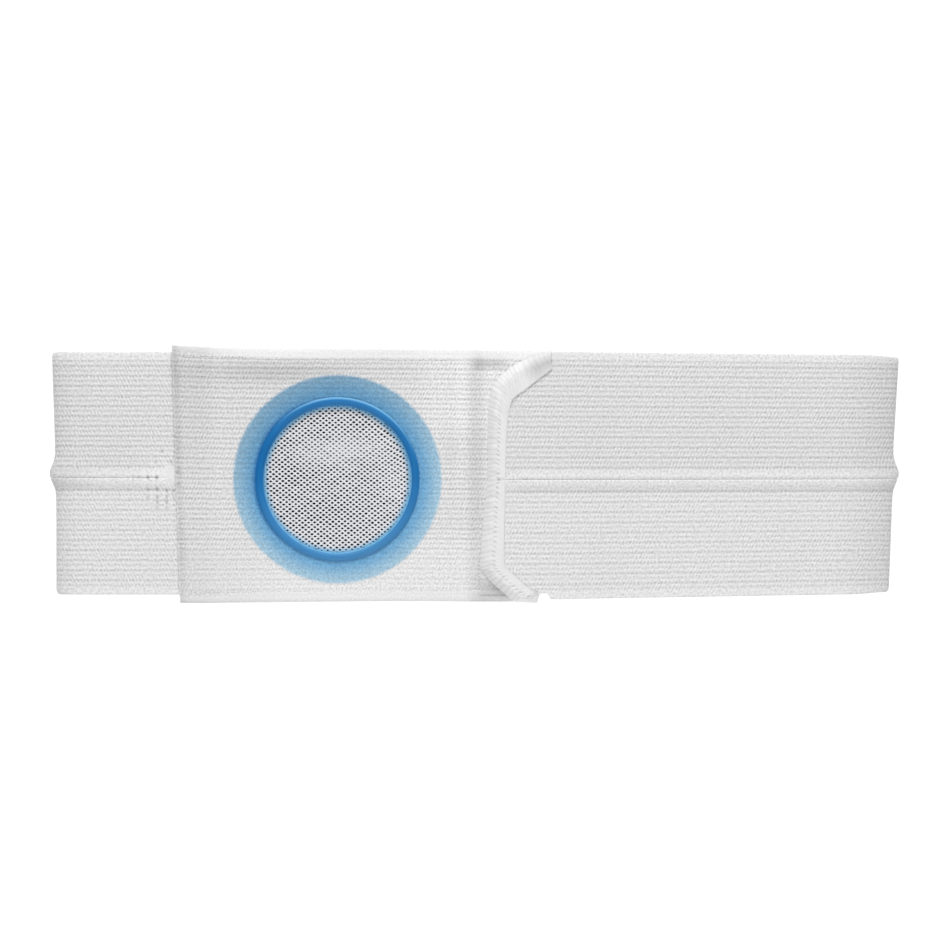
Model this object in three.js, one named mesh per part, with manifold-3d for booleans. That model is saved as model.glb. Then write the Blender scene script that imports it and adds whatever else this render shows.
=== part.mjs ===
// Ostomy support belt: two elastic webs sewn edge to edge, fastened as a loop and laid flat, with a knitted
// front panel that carries a plastic ring over a mesh window. Units are millimetres.
// X runs along the belt, Y across it and Z up, from the surface that the belt lies on.

import * as THREE from "three";
import { mergeVertices } from "three/addons/utils/BufferGeometryUtils.js";
import Module from "manifold-3d";

// Driving dimensions
const LAYER_GAP = 0.3;
const WEB_THICKNESS = 1.8;
const FOLD_INNER_RADIUS = 4.2;
const FOLD_REACH = 12;
const PANEL_THICKNESS = 1.6;
const PANEL_STEPS = 2;
const RING = { x: -86.4, y: -3.2, innerRadius: 46.2, beadRadius: 51.7, flangeRadius: 65.9 };
const RING_FLANGE_THICKNESS = 1;
const RING_BEAD_RISE = 1.9;
const RING_ROUNDS = { inner: 1.2, outer: 1.5, flange: 0.35 };
const RING_SIDES = 72;
const MESH_THICKNESS = 0.6;
const HOOK_STRIP = { left: 19, right: 36, top: 44, bottom: -57, thickness: 1.2, cornerRadius: 3 };
const BINDING_LEG = 0.6;
const BINDING_LOWER_LEG_SHARE = 0.55;
const WEB_INSET_IN_BINDING = 1.3;
const SEAM_GAP = 0.3;
const SEAM_RIDGES = {
  top: { width: 8, rise: 0.6, crest: 1.6 },
  bottom: { width: 8.6, rise: 0.8, crest: 1.4 },
};
const SEAM_BULGE = { y: 0.5, reach: 3.6, halfWidth: 7.5 };
const STUB_END_X = -173;
const TAB_START_X = 56;
const RIDGE_FADE = 4;
const TAB_SHARES = { ridgeEnd: 0.68, boundStart: 0.76 };
const FOLD_STEPS = 12;

// Heights of the stacked layers, each one a gap above the one that carries it
const WEB_HALF = WEB_THICKNESS / 2;
const FOLD_RADIUS = FOLD_INNER_RADIUS + WEB_HALF;
const BACK_Z = WEB_HALF;
const FOLD_Z = BACK_Z + FOLD_RADIUS;
const FRONT_Z = FOLD_Z + FOLD_RADIUS;
const PANEL_OVER_STUB_Z = FRONT_Z + WEB_HALF + LAYER_GAP;
const PANEL_Z = 10.7;
const PANEL_TOP = PANEL_Z + PANEL_THICKNESS;
const FLANGE_TOP = PANEL_Z - LAYER_GAP;
const FLANGE_BOTTOM = FLANGE_TOP - RING_FLANGE_THICKNESS;
const BEAD_TOP = PANEL_TOP + RING_BEAD_RISE;
const MESH_Z = FLANGE_TOP + MESH_THICKNESS / 2;
const HOOK_BOTTOM = PANEL_TOP + LAYER_GAP;
const TAB_Z = HOOK_BOTTOM + HOOK_STRIP.thickness + LAYER_GAP + WEB_HALF;
const BINDING_HALF = WEB_HALF + LAYER_GAP + BINDING_LEG;

// Where the two folds lie across the belt, without the bulge of the stiff seam
const FOLD_LINES = [
  { y: 77, left: -267.0, right: 268.3 },
  { y: 13, left: -264.8, right: 264.4 },
  { y: -13, left: -264.2, right: 264.0 },
  { y: -79, left: -264.1, right: 261.5 },
];

// The belt's edges and middle seam at its two folds and at the tab
const EDGES = {
  leftFold: { top: 76.9, seam: -2.4, bottom: -76.0 },
  rightFold: { top: 74.9, seam: -3.1, bottom: -75.4 },
  tab: { top: 76.6, seam: -3.5, bottom: -78.8 },
};

// How the front of the webs sags between the right fold and the tab, and climbs onto the panel
const FRONT_RUN = [
  { x: 205, drop: 0.5 },
  { x: 140, drop: 1.0 },
  { x: 100, drop: 0.7 },
  { x: 84, drop: -0.6 },
  { x: 69, drop: -3.1 },
];

// The panel along the belt: lean is how far its top edge lies to the left of x and its bottom edge to the right
const PANEL_SECTIONS = [
  { x: -188.3, lean: 2.6, top: 81.2, bottom: -81.2, z: PANEL_OVER_STUB_Z },
  { x: -183, lean: 2.5, top: 80.9, bottom: -81.3, z: PANEL_OVER_STUB_Z },
  { x: -172, lean: 2, top: 80.2, bottom: -81.3, z: PANEL_OVER_STUB_Z },
  { x: -156, lean: 1, top: 79.4, bottom: -81.1, z: PANEL_Z },
  { x: -120, lean: 0, top: 78.6, bottom: -80.7, z: PANEL_Z },
  { x: -60, lean: 0, top: 78.3, bottom: -80.1, z: PANEL_Z },
  { x: -19, lean: 0, top: 78.1, bottom: -79.9, z: PANEL_Z },
  { x: -10, lean: 0, top: 78.0, bottom: -79.9, z: PANEL_Z + 1 },
  { x: 1, lean: 0, top: 77.9, bottom: -80.0, z: PANEL_Z - 0.5 },
  { x: 18, lean: 0, top: 77.7, bottom: -80.1, z: PANEL_Z },
  { x: 44, lean: -7, top: 77.5, bottom: -80.1, z: PANEL_Z },
];

// Lines along the panel, set in from its top and bottom edges, and how far each stands proud as part of the hem
const PANEL_LINES = [
  { inset: 0, rise: -0.5 },
  { inset: 0.8, rise: 0.3 },
  { inset: 4.2, rise: 0.3 },
  { inset: 5, rise: 0 },
  { inset: 7.5, rise: 0 },
  { inset: 10, rise: 0 },
  { inset: 13.5, rise: 0 },
  { inset: 19, rise: 0 },
];

// Where the slack panel sinks beside the tab, and where it swells along its hems, with a depth below zero
const PANEL_DIPS = [
  { x: -128, y: 73.5, spanX: 52, spanY: 9, depth: -2 },
  { x: -100, y: -90, spanX: 62, spanY: 17, depth: -1.6 },
  { x: -9, y: 66, spanX: 9, spanY: 22, depth: -0.6 },
  { x: 11, y: 69, spanX: 11, spanY: 4.5, depth: 1.1 },
  { x: 13, y: -73, spanX: 11, spanY: 6, depth: 1.1 },
];

// The overlocked edge of the tab, from its top end to its bottom end: its outer line and its inner line
const BINDING_LINE = [
  { outerX: 48.0, outerY: 77.3, innerX: 48.9, innerY: 66.0 },
  { outerX: 33.8, outerY: 73.1, innerX: 38.6, innerY: 58.1 },
  { outerX: 27.0, outerY: 70.0, innerX: 30.1, innerY: 51.6 },
  { outerX: 19.6, outerY: 64.7, innerX: 25.6, innerY: 47.6 },
  { outerX: 14.9, outerY: 60.7, innerX: 23.0, innerY: 43.8 },
  { outerX: 10.7, outerY: 53.1, innerX: 21.4, innerY: 39.2 },
  { outerX: 8.8, outerY: 42.3, innerX: 20.5, innerY: 34.1 },
  { outerX: 8.5, outerY: -3.8, innerX: 19.6, innerY: -3.8 },
  { outerX: 3.8, outerY: -49.9, innerX: 18.8, innerY: -49.9 },
  { outerX: 3.7, outerY: -59.4, innerX: 19.3, innerY: -58.1 },
  { outerX: 10.1, outerY: -67.6, innerX: 23.1, innerY: -61.6 },
  { outerX: 23.8, outerY: -79.6, innerX: 35.4, innerY: -72.7 },
  { outerX: 27.2, outerY: -80.6, innerX: 37.9, innerY: -73.6 },
  { outerX: 39.8, outerY: -80.9, innerX: 40.1, innerY: -73.8 },
];

// Places across a web, as shares of the way from the seam to its outer edge
const WEB_STATIONS = [0, 0.02, 0.075, 0.1, 0.25, 0.5, 0.64, 0.72, 0.86, 0.95, 1];

// Finishes
const FINISHES = {
  web: { color: 0xe3e3e4, roughness: 0.92 },
  panel: { color: 0xe6e5e6, roughness: 0.92 },
  ring: { color: 0x1672c6, roughness: 0.34 },
  mesh: { color: 0xe9e9ea, roughness: 0.9 },
  hook: { color: 0xdededf, roughness: 0.8 },
  thread: { color: 0xececec, roughness: 0.88 },
};

const wasm = await Module();
wasm.setup();

const lerp = THREE.MathUtils.lerp;

// The value of a column at a place, read along the straight lines between a table's rows
function readTable(rows, keyColumn, column, key) {
  const falling = rows[0][keyColumn] > rows[rows.length - 1][keyColumn];
  const sorted = falling ? [...rows].reverse() : rows;
  const last = sorted.length - 1;
  if (key <= sorted[0][keyColumn]) return sorted[0][column];
  if (key >= sorted[last][keyColumn]) return sorted[last][column];
  const next = sorted.findIndex((row) => row[keyColumn] > key);
  const [low, high] = [sorted[next - 1], sorted[next]];
  const share = (key - low[keyColumn]) / (high[keyColumn] - low[keyColumn]);
  return lerp(low[column], high[column], share);
}

// A closed slab from lines of paired points: each line runs along the piece, and each point has an outer and
// an inner place, so the lines side by side give the two faces and their ends give the edges
function slabGeometry(lines) {
  const lineCount = lines.length;
  const pointCount = lines[0].length;
  const positions = [];
  for (const face of ["outer", "inner"]) {
    for (const line of lines) {
      for (const point of line) positions.push(...point[face].toArray());
    }
  }
  const outer = (line, point) => line * pointCount + point;
  const inner = (line, point) => (lineCount + line) * pointCount + point;
  const index = [];
  const quad = (a, b, c, d) => index.push(a, c, b, a, d, c);
  for (let line = 0; line < lineCount - 1; line += 1) {
    for (let point = 0; point < pointCount - 1; point += 1) {
      quad(outer(line, point), outer(line, point + 1), outer(line + 1, point + 1), outer(line + 1, point));
      quad(inner(line, point), inner(line + 1, point), inner(line + 1, point + 1), inner(line, point + 1));
    }
    const end = pointCount - 1;
    quad(outer(line, 0), outer(line + 1, 0), inner(line + 1, 0), inner(line, 0));
    quad(outer(line, end), inner(line, end), inner(line + 1, end), outer(line + 1, end));
  }
  for (let point = 0; point < pointCount - 1; point += 1) {
    const far = lineCount - 1;
    quad(outer(0, point), inner(0, point), inner(0, point + 1), outer(0, point + 1));
    quad(outer(far, point), outer(far, point + 1), inner(far, point + 1), inner(far, point));
  }
  const geometry = new THREE.BufferGeometry();
  geometry.setAttribute("position", new THREE.Float32BufferAttribute(positions, 3));
  geometry.setIndex(index);
  return geometry;
}

// A closed solid through contours of equal length, with flat caps whose triangles come from the first contour
function loftGeometry(contours, capShape) {
  const size = contours[0].length;
  const positions = contours.flat().flatMap((point) => point.toArray());
  const index = [];
  for (let ring = 0; ring < contours.length - 1; ring += 1) {
    for (let side = 0; side < size; side += 1) {
      const near = ring * size;
      const far = near + size;
      const next = (side + 1) % size;
      index.push(near + side, near + next, far + next, near + side, far + next, far + side);
    }
  }
  const lastRing = (contours.length - 1) * size;
  for (const [a, b, c] of THREE.ShapeUtils.triangulateShape(capShape, [])) {
    index.push(a, c, b, lastRing + a, lastRing + b, lastRing + c);
  }
  const geometry = new THREE.BufferGeometry();
  geometry.setAttribute("position", new THREE.Float32BufferAttribute(positions, 3));
  geometry.setIndex(index);
  return geometry;
}

// A geometry as a solid that can be cut, and back again
function solidOf(geometry) {
  const bare = geometry.clone();
  bare.deleteAttribute("normal");
  bare.deleteAttribute("uv");
  const merged = mergeVertices(bare);
  const vertProperties = merged.attributes.position.array;
  const triVerts = new Uint32Array(merged.index.array);
  return new wasm.Manifold(new wasm.Mesh({ numProp: 3, vertProperties, triVerts }));
}

function geometryOf(solid) {
  const mesh = solid.getMesh();
  const geometry = new THREE.BufferGeometry();
  geometry.setAttribute("position", new THREE.BufferAttribute(new Float32Array(mesh.vertProperties), 3));
  geometry.setIndex([...mesh.triVerts]);
  return geometry;
}

// Where a fold lies at a place across the belt, with the seam's bulge pushing it outwards
function foldX(side, y) {
  const away = (y - SEAM_BULGE.y) / SEAM_BULGE.halfWidth;
  const bulge = SEAM_BULGE.reach * Math.exp(-away * away);
  return readTable(FOLD_LINES, "y", side, y) + (side === "left" ? -bulge : bulge);
}

// Where a web ends inside the overlocked edge, at a place across the tab
function tabEndX(y) {
  const insetLine = BINDING_LINE.map((row) => {
    const outer = new THREE.Vector2(row.outerX, row.outerY);
    const inner = new THREE.Vector2(row.innerX, row.innerY);
    return outer.lerp(inner, WEB_INSET_IN_BINDING / outer.distanceTo(inner));
  });
  return readTable(insetLine, "y", "x", y);
}

// How far a web's selvage beside the seam stands proud of the web, at a distance from the seam
function ridgeRise(edge, distance) {
  const { width, rise, crest } = SEAM_RIDGES[edge];
  if (distance >= width) return 0;
  const fall = distance < crest ? (crest - distance) / crest : (distance - crest) / (width - crest);
  return rise * (1 - fall * fall);
}

// One line along a web, from the stub end round both folds to the tab end
function webLine(share, edge) {
  const across = (section) => {
    const { seam } = EDGES[section];
    const outerY = EDGES[section][edge];
    const seamY = seam + (Math.sign(outerY - seam) * SEAM_GAP) / 2;
    return lerp(seamY, outerY, share);
  };
  const y = { left: across("leftFold"), right: across("rightFold"), tab: across("tab") };
  const leftCentre = foldX("left", y.left) + FOLD_REACH + WEB_HALF;
  const rightCentre = foldX("right", y.right) - FOLD_REACH - WEB_HALF;
  const tabEnd = tabEndX(y.tab);
  const place = (x, z) => new THREE.Vector2(x, z);
  const frontRun = new THREE.SplineCurve([
    place(rightCentre, FRONT_Z),
    ...FRONT_RUN.map((row) => place(row.x, FRONT_Z - row.drop)),
    place(TAB_START_X, TAB_Z),
  ]);
  const straight = (fromX, fromZ, toX, toZ) => new THREE.LineCurve(place(fromX, fromZ), place(toX, toZ));
  const halfTurn = (centre, from) =>
    new THREE.EllipseCurve(centre, FOLD_Z, FOLD_REACH, FOLD_RADIUS, from, from + Math.PI);
  const coveredEnd = PANEL_SECTIONS[0].x - PANEL_SECTIONS[0].lean;
  const ridgeStart = coveredEnd - RIDGE_FADE;
  const ridgeEnd = lerp(TAB_START_X, tabEnd, TAB_SHARES.ridgeEnd);
  const boundStart = lerp(TAB_START_X, tabEnd, TAB_SHARES.boundStart);
  const stretches = [
    { curve: straight(STUB_END_X, FRONT_Z, coveredEnd, FRONT_Z), steps: 1, y: [y.left, y.left], ridge: [0, 0] },
    { curve: straight(coveredEnd, FRONT_Z, ridgeStart, FRONT_Z), steps: 1, y: [y.left, y.left], ridge: [0, 1] },
    { curve: straight(ridgeStart, FRONT_Z, leftCentre, FRONT_Z), steps: 1, y: [y.left, y.left], ridge: [1, 1] },
    { curve: halfTurn(leftCentre, Math.PI / 2), steps: FOLD_STEPS, y: [y.left, y.left], ridge: [1, 0] },
    { curve: straight(leftCentre, BACK_Z, rightCentre, BACK_Z), steps: 4, y: [y.left, y.right], ridge: [0, 0] },
    { curve: halfTurn(rightCentre, -Math.PI / 2), steps: FOLD_STEPS, y: [y.right, y.right], ridge: [0, 1] },
    { curve: frontRun, steps: 18, y: [y.right, y.tab], ridge: [1, 1] },
    { curve: straight(TAB_START_X, TAB_Z, ridgeEnd, TAB_Z), steps: 1, y: [y.tab, y.tab], ridge: [1, 1] },
    { curve: straight(ridgeEnd, TAB_Z, boundStart, TAB_Z), steps: 1, y: [y.tab, y.tab], ridge: [1, 0] },
    { curve: straight(boundStart, TAB_Z, tabEnd, TAB_Z), steps: 1, y: [y.tab, y.tab], ridge: [0, 0] },
  ];
  const rise = ridgeRise(edge, share * Math.abs(EDGES.leftFold[edge] - EDGES.leftFold.seam));
  return stretches.flatMap((stretch, number) => {
    const firstStep = number === 0 ? 0 : 1;
    const points = [];
    for (let step = firstStep; step <= stretch.steps; step += 1) {
      const along = step / stretch.steps;
      const at = stretch.curve.getPoint(along);
      const tangent = stretch.curve.getTangent(along);
      const outward = new THREE.Vector2(tangent.y, -tangent.x);
      const outerAt = at.clone().addScaledVector(outward, WEB_HALF + rise * lerp(...stretch.ridge, along));
      const innerAt = at.clone().addScaledVector(outward, -WEB_HALF);
      const pointY = lerp(...stretch.y, along);
      points.push({
        outer: new THREE.Vector3(outerAt.x, pointY, outerAt.y),
        inner: new THREE.Vector3(innerAt.x, pointY, innerAt.y),
      });
    }
    return points;
  });
}

function webGeometry(edge) {
  const lines = WEB_STATIONS.map((share) => webLine(share, edge));
  return slabGeometry(edge === "top" ? lines : lines.reverse());
}

// How far the panel sinks or swells at a place
function panelDip(x, y) {
  const depths = PANEL_DIPS.map((dip) => {
    const along = (x - dip.x) / dip.spanX;
    const across = (y - dip.y) / dip.spanY;
    return dip.depth * Math.exp(-along * along - across * across);
  });
  return depths.reduce((sum, depth) => sum + depth, 0);
}

// The panel: a knitted wall with a raised hem along its edges, cut through for the ring's bead
function panelGeometry() {
  const stations = PANEL_SECTIONS.slice(1).flatMap((section, number) => {
    const from = PANEL_SECTIONS[number].x;
    return Array.from({ length: PANEL_STEPS }, (_, step) => lerp(from, section.x, step / PANEL_STEPS));
  });
  stations.push(PANEL_SECTIONS[PANEL_SECTIONS.length - 1].x);
  const hemRise = Math.max(...PANEL_LINES.map((line) => line.rise));
  const lineOf = (edge, { inset, rise }) =>
    stations.map((station) => {
      const read = (column) => readTable(PANEL_SECTIONS, "x", column, station);
      const y = edge === "top" ? read("top") - inset : read("bottom") + inset;
      const x = station - (read("lean") * y) / read("top");
      const bottom = read("z") - panelDip(x, y);
      const proud = station <= PANEL_SECTIONS[1].x ? Math.max(rise, hemRise) : rise;
      return {
        outer: new THREE.Vector3(x, y, bottom + PANEL_THICKNESS + proud),
        inner: new THREE.Vector3(x, y, bottom),
      };
    });
  const lines = [
    ...PANEL_LINES.map((line) => lineOf("top", line)),
    ...PANEL_LINES.map((line) => lineOf("bottom", line)).reverse(),
  ];
  const holeRadius = RING.beadRadius + LAYER_GAP;
  const cutterHeight = 6 * PANEL_THICKNESS;
  const holeCutter = new THREE.CylinderGeometry(holeRadius, holeRadius, cutterHeight, RING_SIDES)
    .rotateX(Math.PI / 2)
    .translate(RING.x, RING.y, PANEL_Z);
  return geometryOf(solidOf(slabGeometry(lines)).subtract(solidOf(holeCutter)));
}

// The ring: a rounded bead on a wide thin flange, turned about its own axis
function ringGeometry() {
  const { innerRadius, beadRadius, flangeRadius } = RING;
  const { inner: innerRound, outer: outerRound, flange: flangeRound } = RING_ROUNDS;
  const outline = new THREE.Path()
    .moveTo(innerRadius, FLANGE_BOTTOM)
    .lineTo(flangeRadius, FLANGE_BOTTOM)
    .lineTo(flangeRadius, FLANGE_TOP - flangeRound)
    .lineTo(flangeRadius - flangeRound, FLANGE_TOP)
    .lineTo(beadRadius, FLANGE_TOP)
    .lineTo(beadRadius, BEAD_TOP - outerRound)
    .absarc(beadRadius - outerRound, BEAD_TOP - outerRound, outerRound, 0, Math.PI / 2, false)
    .lineTo(innerRadius + innerRound, BEAD_TOP)
    .absarc(innerRadius + innerRound, BEAD_TOP - innerRound, innerRound, Math.PI / 2, Math.PI, false)
    .lineTo(innerRadius, FLANGE_BOTTOM);
  return new THREE.LatheGeometry(outline.getPoints(2), RING_SIDES).rotateX(Math.PI / 2);
}

// The mesh window: a thin disc welded inside the ring
function meshWindowGeometry() {
  const radius = RING.innerRadius - LAYER_GAP;
  return new THREE.CylinderGeometry(radius, radius, MESH_THICKNESS, RING_SIDES).rotateX(Math.PI / 2);
}

// The hook strip: a flat rounded rectangle
function hookStripGeometry() {
  const { left, right, top, bottom, cornerRadius, thickness } = HOOK_STRIP;
  const outline = new THREE.Shape();
  outline.absarc(right - cornerRadius, top - cornerRadius, cornerRadius, 0, Math.PI / 2, false);
  outline.absarc(left + cornerRadius, top - cornerRadius, cornerRadius, Math.PI / 2, Math.PI, false);
  outline.absarc(left + cornerRadius, bottom + cornerRadius, cornerRadius, Math.PI, 1.5 * Math.PI, false);
  outline.absarc(right - cornerRadius, bottom + cornerRadius, cornerRadius, 1.5 * Math.PI, 2 * Math.PI, false);
  return new THREE.ExtrudeGeometry(outline, { depth: thickness, bevelEnabled: false, curveSegments: 3 });
}

// The overlocked edge: a channel of thread that wraps the ends of both webs
function bindingGeometry() {
  const channel = (width) => {
    const lowerWidth = width * BINDING_LOWER_LEG_SHARE;
    return [
      new THREE.Vector2(0, -BINDING_HALF),
      new THREE.Vector2(lowerWidth, -BINDING_HALF),
      new THREE.Vector2(lowerWidth, -BINDING_HALF + BINDING_LEG),
      new THREE.Vector2(BINDING_LEG, -BINDING_HALF + BINDING_LEG),
      new THREE.Vector2(BINDING_LEG, BINDING_HALF - BINDING_LEG),
      new THREE.Vector2(width, BINDING_HALF - BINDING_LEG),
      new THREE.Vector2(width - BINDING_LEG, BINDING_HALF),
      new THREE.Vector2(BINDING_LEG / 2, BINDING_HALF),
    ];
  };
  const contours = BINDING_LINE.map((row) => {
    const outer = new THREE.Vector3(row.outerX, row.outerY, TAB_Z);
    const inward = new THREE.Vector3(row.innerX, row.innerY, TAB_Z).sub(outer);
    const width = inward.length();
    inward.normalize();
    return channel(width).map((corner) => {
      const place = outer.clone().addScaledVector(inward, corner.x);
      place.z += corner.y;
      return place;
    });
  });
  return loftGeometry(contours, channel(1.2 * BINDING_LEG / BINDING_LOWER_LEG_SHARE));
}

// The assembly
const belt = new THREE.Group();

function addPiece(name, geometry, finish, x = 0, y = 0, z = 0) {
  const material = new THREE.MeshStandardMaterial({ metalness: 0, ...FINISHES[finish] });
  const mesh = new THREE.Mesh(geometry, material);
  mesh.name = name;
  mesh.position.set(x, y, z);
  belt.add(mesh);
}

addPiece("upper_web", webGeometry("top"), "web");
addPiece("lower_web", webGeometry("bottom"), "web");
addPiece("panel", panelGeometry(), "panel");
addPiece("ring", ringGeometry(), "ring", RING.x, RING.y);
addPiece("mesh_window", meshWindowGeometry(), "mesh", RING.x, RING.y, MESH_Z);
addPiece("hook_strip", hookStripGeometry(), "hook", 0, 0, HOOK_BOTTOM);
addPiece("tab_binding", bindingGeometry(), "thread");

// The origin is under the middle of the belt's footprint
const footprint = new THREE.Box3().setFromObject(belt).getCenter(new THREE.Vector3());
for (const piece of belt.children) piece.position.sub(new THREE.Vector3(footprint.x, footprint.y, 0));

export default belt;
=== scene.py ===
"""Visual model of an ostomy support belt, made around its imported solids.

It is laid out as a Blender add-on and run as a script. X runs along the belt, Y across it and Z up.
The tables and the mesh code are in millimetres, and every mesh, property and shader value is in metres.
"""

import math
from collections import namedtuple

import bpy
import numpy as np
from bpy.props import FloatProperty, FloatVectorProperty, PointerProperty
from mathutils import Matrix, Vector


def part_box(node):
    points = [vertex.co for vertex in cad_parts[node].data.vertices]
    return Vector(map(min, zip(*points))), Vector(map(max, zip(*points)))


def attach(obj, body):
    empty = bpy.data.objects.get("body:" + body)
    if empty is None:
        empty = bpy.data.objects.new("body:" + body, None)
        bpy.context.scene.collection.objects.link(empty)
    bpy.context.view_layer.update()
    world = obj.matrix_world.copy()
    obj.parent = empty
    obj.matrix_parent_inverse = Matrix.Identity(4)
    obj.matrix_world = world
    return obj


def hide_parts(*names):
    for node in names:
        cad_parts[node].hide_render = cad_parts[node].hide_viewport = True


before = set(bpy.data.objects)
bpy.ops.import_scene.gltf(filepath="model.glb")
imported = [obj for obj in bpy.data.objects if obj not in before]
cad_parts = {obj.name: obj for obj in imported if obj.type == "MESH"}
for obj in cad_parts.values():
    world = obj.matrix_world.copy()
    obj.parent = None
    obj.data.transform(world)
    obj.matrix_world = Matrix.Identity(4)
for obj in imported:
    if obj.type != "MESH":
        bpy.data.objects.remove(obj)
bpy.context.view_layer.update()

bl_info = {
    "name": "Ostomy support belt",
    "version": (1, 0, 0),
    "blender": (4, 5, 0),
    "location": "3D View > Sidebar > Belt",
    "description": "Makes an elastic support belt with a knitted panel, a plastic ring and a mesh window",
    "category": "Add Mesh",
}

MM = 0.001
TAU = 2 * math.pi
SHARP_ANGLE = math.radians(55.0)
WHITE = (1.0, 1.0, 1.0, 1.0)

# The tables are measured from the photograph's middle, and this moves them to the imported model's origin.
RING_LOW, RING_HIGH = (np.array(corner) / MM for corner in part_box("ring"))
RING_X, RING_Y = -86.4, -3.2
SHIFT = np.array([(RING_LOW[0] + RING_HIGH[0]) / 2 - RING_X, (RING_LOW[1] + RING_HIGH[1]) / 2 - RING_Y, 0.0])
RING_CENTRE = ((RING_X + SHIFT[0]) * MM, (RING_Y + SHIFT[1]) * MM, 0.0)

# Heights of the stacked layers
WEB_HALF = 0.9
FOLD_RADIUS = 5.1
Reach = namedtuple("Reach", "left right")
FOLD_REACH = Reach(13.0, 20.0)
BACK_Z = WEB_HALF
FOLD_Z = BACK_Z + FOLD_RADIUS
FRONT_Z = FOLD_Z + FOLD_RADIUS
PANEL_Z = 10.7
PANEL_THICKNESS = 1.6
PANEL_TOP = PANEL_Z + PANEL_THICKNESS
TAB_Z = 15.0

# The ring's section: its flange, the heights where its bead starts to round and the easing of its edges
FLANGE_THICKNESS = 1.0
Shoulders = namedtuple("Shoulders", "outer inner")
BEAD_SHOULDERS = Shoulders(PANEL_TOP + 0.95, PANEL_TOP - 0.3)
BEAD_POINTS, RING_SIDES = 25, 240
EASE = 0.3

# Where the webs start and where they rise onto the tab
STUB_END_X = -173.0
TAB_START_X = 56.0

# Where both folds lie, at places across the belt, with the seam's bulge and the corners' rounding
Fold = namedtuple("Fold", "y left right")
FOLD_LINES = [
    Fold(-79.0, -264.1, 261.5),
    Fold(-13.0, -264.2, 264.0),
    Fold(13.0, -264.8, 264.4),
    Fold(77.0, -267.0, 268.3),
]
SEAM_BULGE_Y, SEAM_BULGE_REACH, SEAM_BULGE_WIDTH = 0.5, 3.6, 7.5
CORNER_ROUND, CORNER_ROUND_REACH = 1.4, 1.2
CORNER_PINCH, CORNER_PINCH_REACH, CORNER_PINCH_POWER = 1.3, 22.0, 12

# The middle seam, at the left fold, at the right fold and at the tab
Edge = namedtuple("Edge", "left right tab")
SEAM_EDGE = Edge(-2.4, -3.1, -3.5)
SEAM_GAP = 0.04
SEAM_ROUND = 0.2

# The lower web's edge is nicked beside the end of the overlocked edge, where its mesh has closer columns.
# The back lies a little further in there, so that the nick shows the floor.
NOTCH_X, NOTCH_WIDTH, NOTCH_DEPTH, NOTCH_REACH = 43.7, 3.4, 3.7, 6.5
NOTCH_COLUMNS = np.array([
    37.5, 39.0, 39.7, 40.1, 40.5, 40.9, 41.4, 42.4, 43.9, 45.4, 46.4, 46.9, 47.3, 47.7, 48.1, 48.8, 50.3])
BACK_LIFT, BACK_LIFT_SPAN, BACK_LIFT_REACH = 1.4, 60.0, 40.0

# How many columns of mesh each stretch of a web has, how many lines each pair of ribs has, and the lines
# that round a web's edges
Columns = namedtuple("Columns", "stub turn back front tab")
WEB_COLUMNS = Columns(120, 22, 34, 68, 32)
RIB_LINES = 13
WEB_ROUNDS = np.array([0.0, 0.12, 0.4])
WEB_BODY_START = 0.85

# How far loose cloth takes to swell beside the tab, the right fold, the panel and the left fold
Swell = namedtuple("Swell", "tab right panel left")
SWELL = Swell(34.0, 30.0, 14.0, 12.0)

# Short waves in loose cloth, and how far each one's crests lean across the belt
Wave = namedtuple("Wave", "height length lean phase")
SHORT_WAVES = [Wave(0.10, 43.0, 0.6, 0.0), Wave(0.07, 27.0, -0.8, 2.0)]

# The ridge beside the seam starts past the panel's edge and ends at shares of the way along the tab.
RIDGE_START = 5.0
RIDGE_END = (0.74, 0.60)
RIDGE_FALL_POWER = 1.6
RIB_OFFSET = 0.8

# A web's thickness at its very edges, as a share, and where its stitches change the way that they slant
EDGE_THIN = 0.3
SLANT_TRAVEL = (120.0, 560.0)

# A line along a web, and what tells the two webs apart
Course = namedtuple("Course", "x y z ridge from_left from_right")
Web = namedtuple("Web", (
    "node edge sign ridge_width ridge_rise ridge_crest crown grey line_at line_shade slope_shade calm"))
# Each web carries painted shade over its body, in a line below the seam's ridge and down the ridge's far
# slope; the columns between its crown and its calm give how much, and where the line lies
WEBS = [
    Web("upper_web", Edge(77.2, 75.4, 77.3), 1, 8.0, 0.55, 1.7, 0.7, 0.12, 7.0, 0.04, 0.0, 0.0),
    Web("lower_web", Edge(-76.0, -75.8, -78.8), -1, 8.6, 0.8, 1.0, 0.1, 0.045, 7.6, 0.02, 0.23, 0.2),
]

# How far the front of the webs sags between the tab and the right fold
Sag = namedtuple("Sag", "x drop")
FRONT_RUN = [Sag(69.0, -3.1), Sag(84.0, -0.6), Sag(100.0, 0.7), Sag(140.0, 1.0), Sag(205.0, 0.5)]

# The panel along the belt: lean is how far its top edge lies to the left of x, and z is its underside
Section = namedtuple("Section", "x lean top bottom z")
PANEL_SECTIONS = [
    Section(-188.3, 2.6, 81.2, -81.2, 12.3),
    Section(-183.0, 2.5, 81.0, -81.3, 12.3),
    Section(-172.0, 2.0, 80.5, -81.3, 12.3),
    Section(-156.0, 1.0, 79.9, -81.1, 10.7),
    Section(-120.0, 0.0, 79.4, -80.7, 10.7),
    Section(-60.0, 0.0, 79.2, -80.1, 10.7),
    Section(-19.0, 0.0, 78.9, -80.2, 10.9),
    Section(-10.0, 0.0, 78.8, -80.3, 11.7),
    Section(1.0, 0.0, 78.7, -80.4, 10.2),
    Section(18.0, 0.0, 78.4, -80.4, 10.7),
    Section(44.0, -7.0, 78.0, -80.2, 10.7),
]

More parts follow.
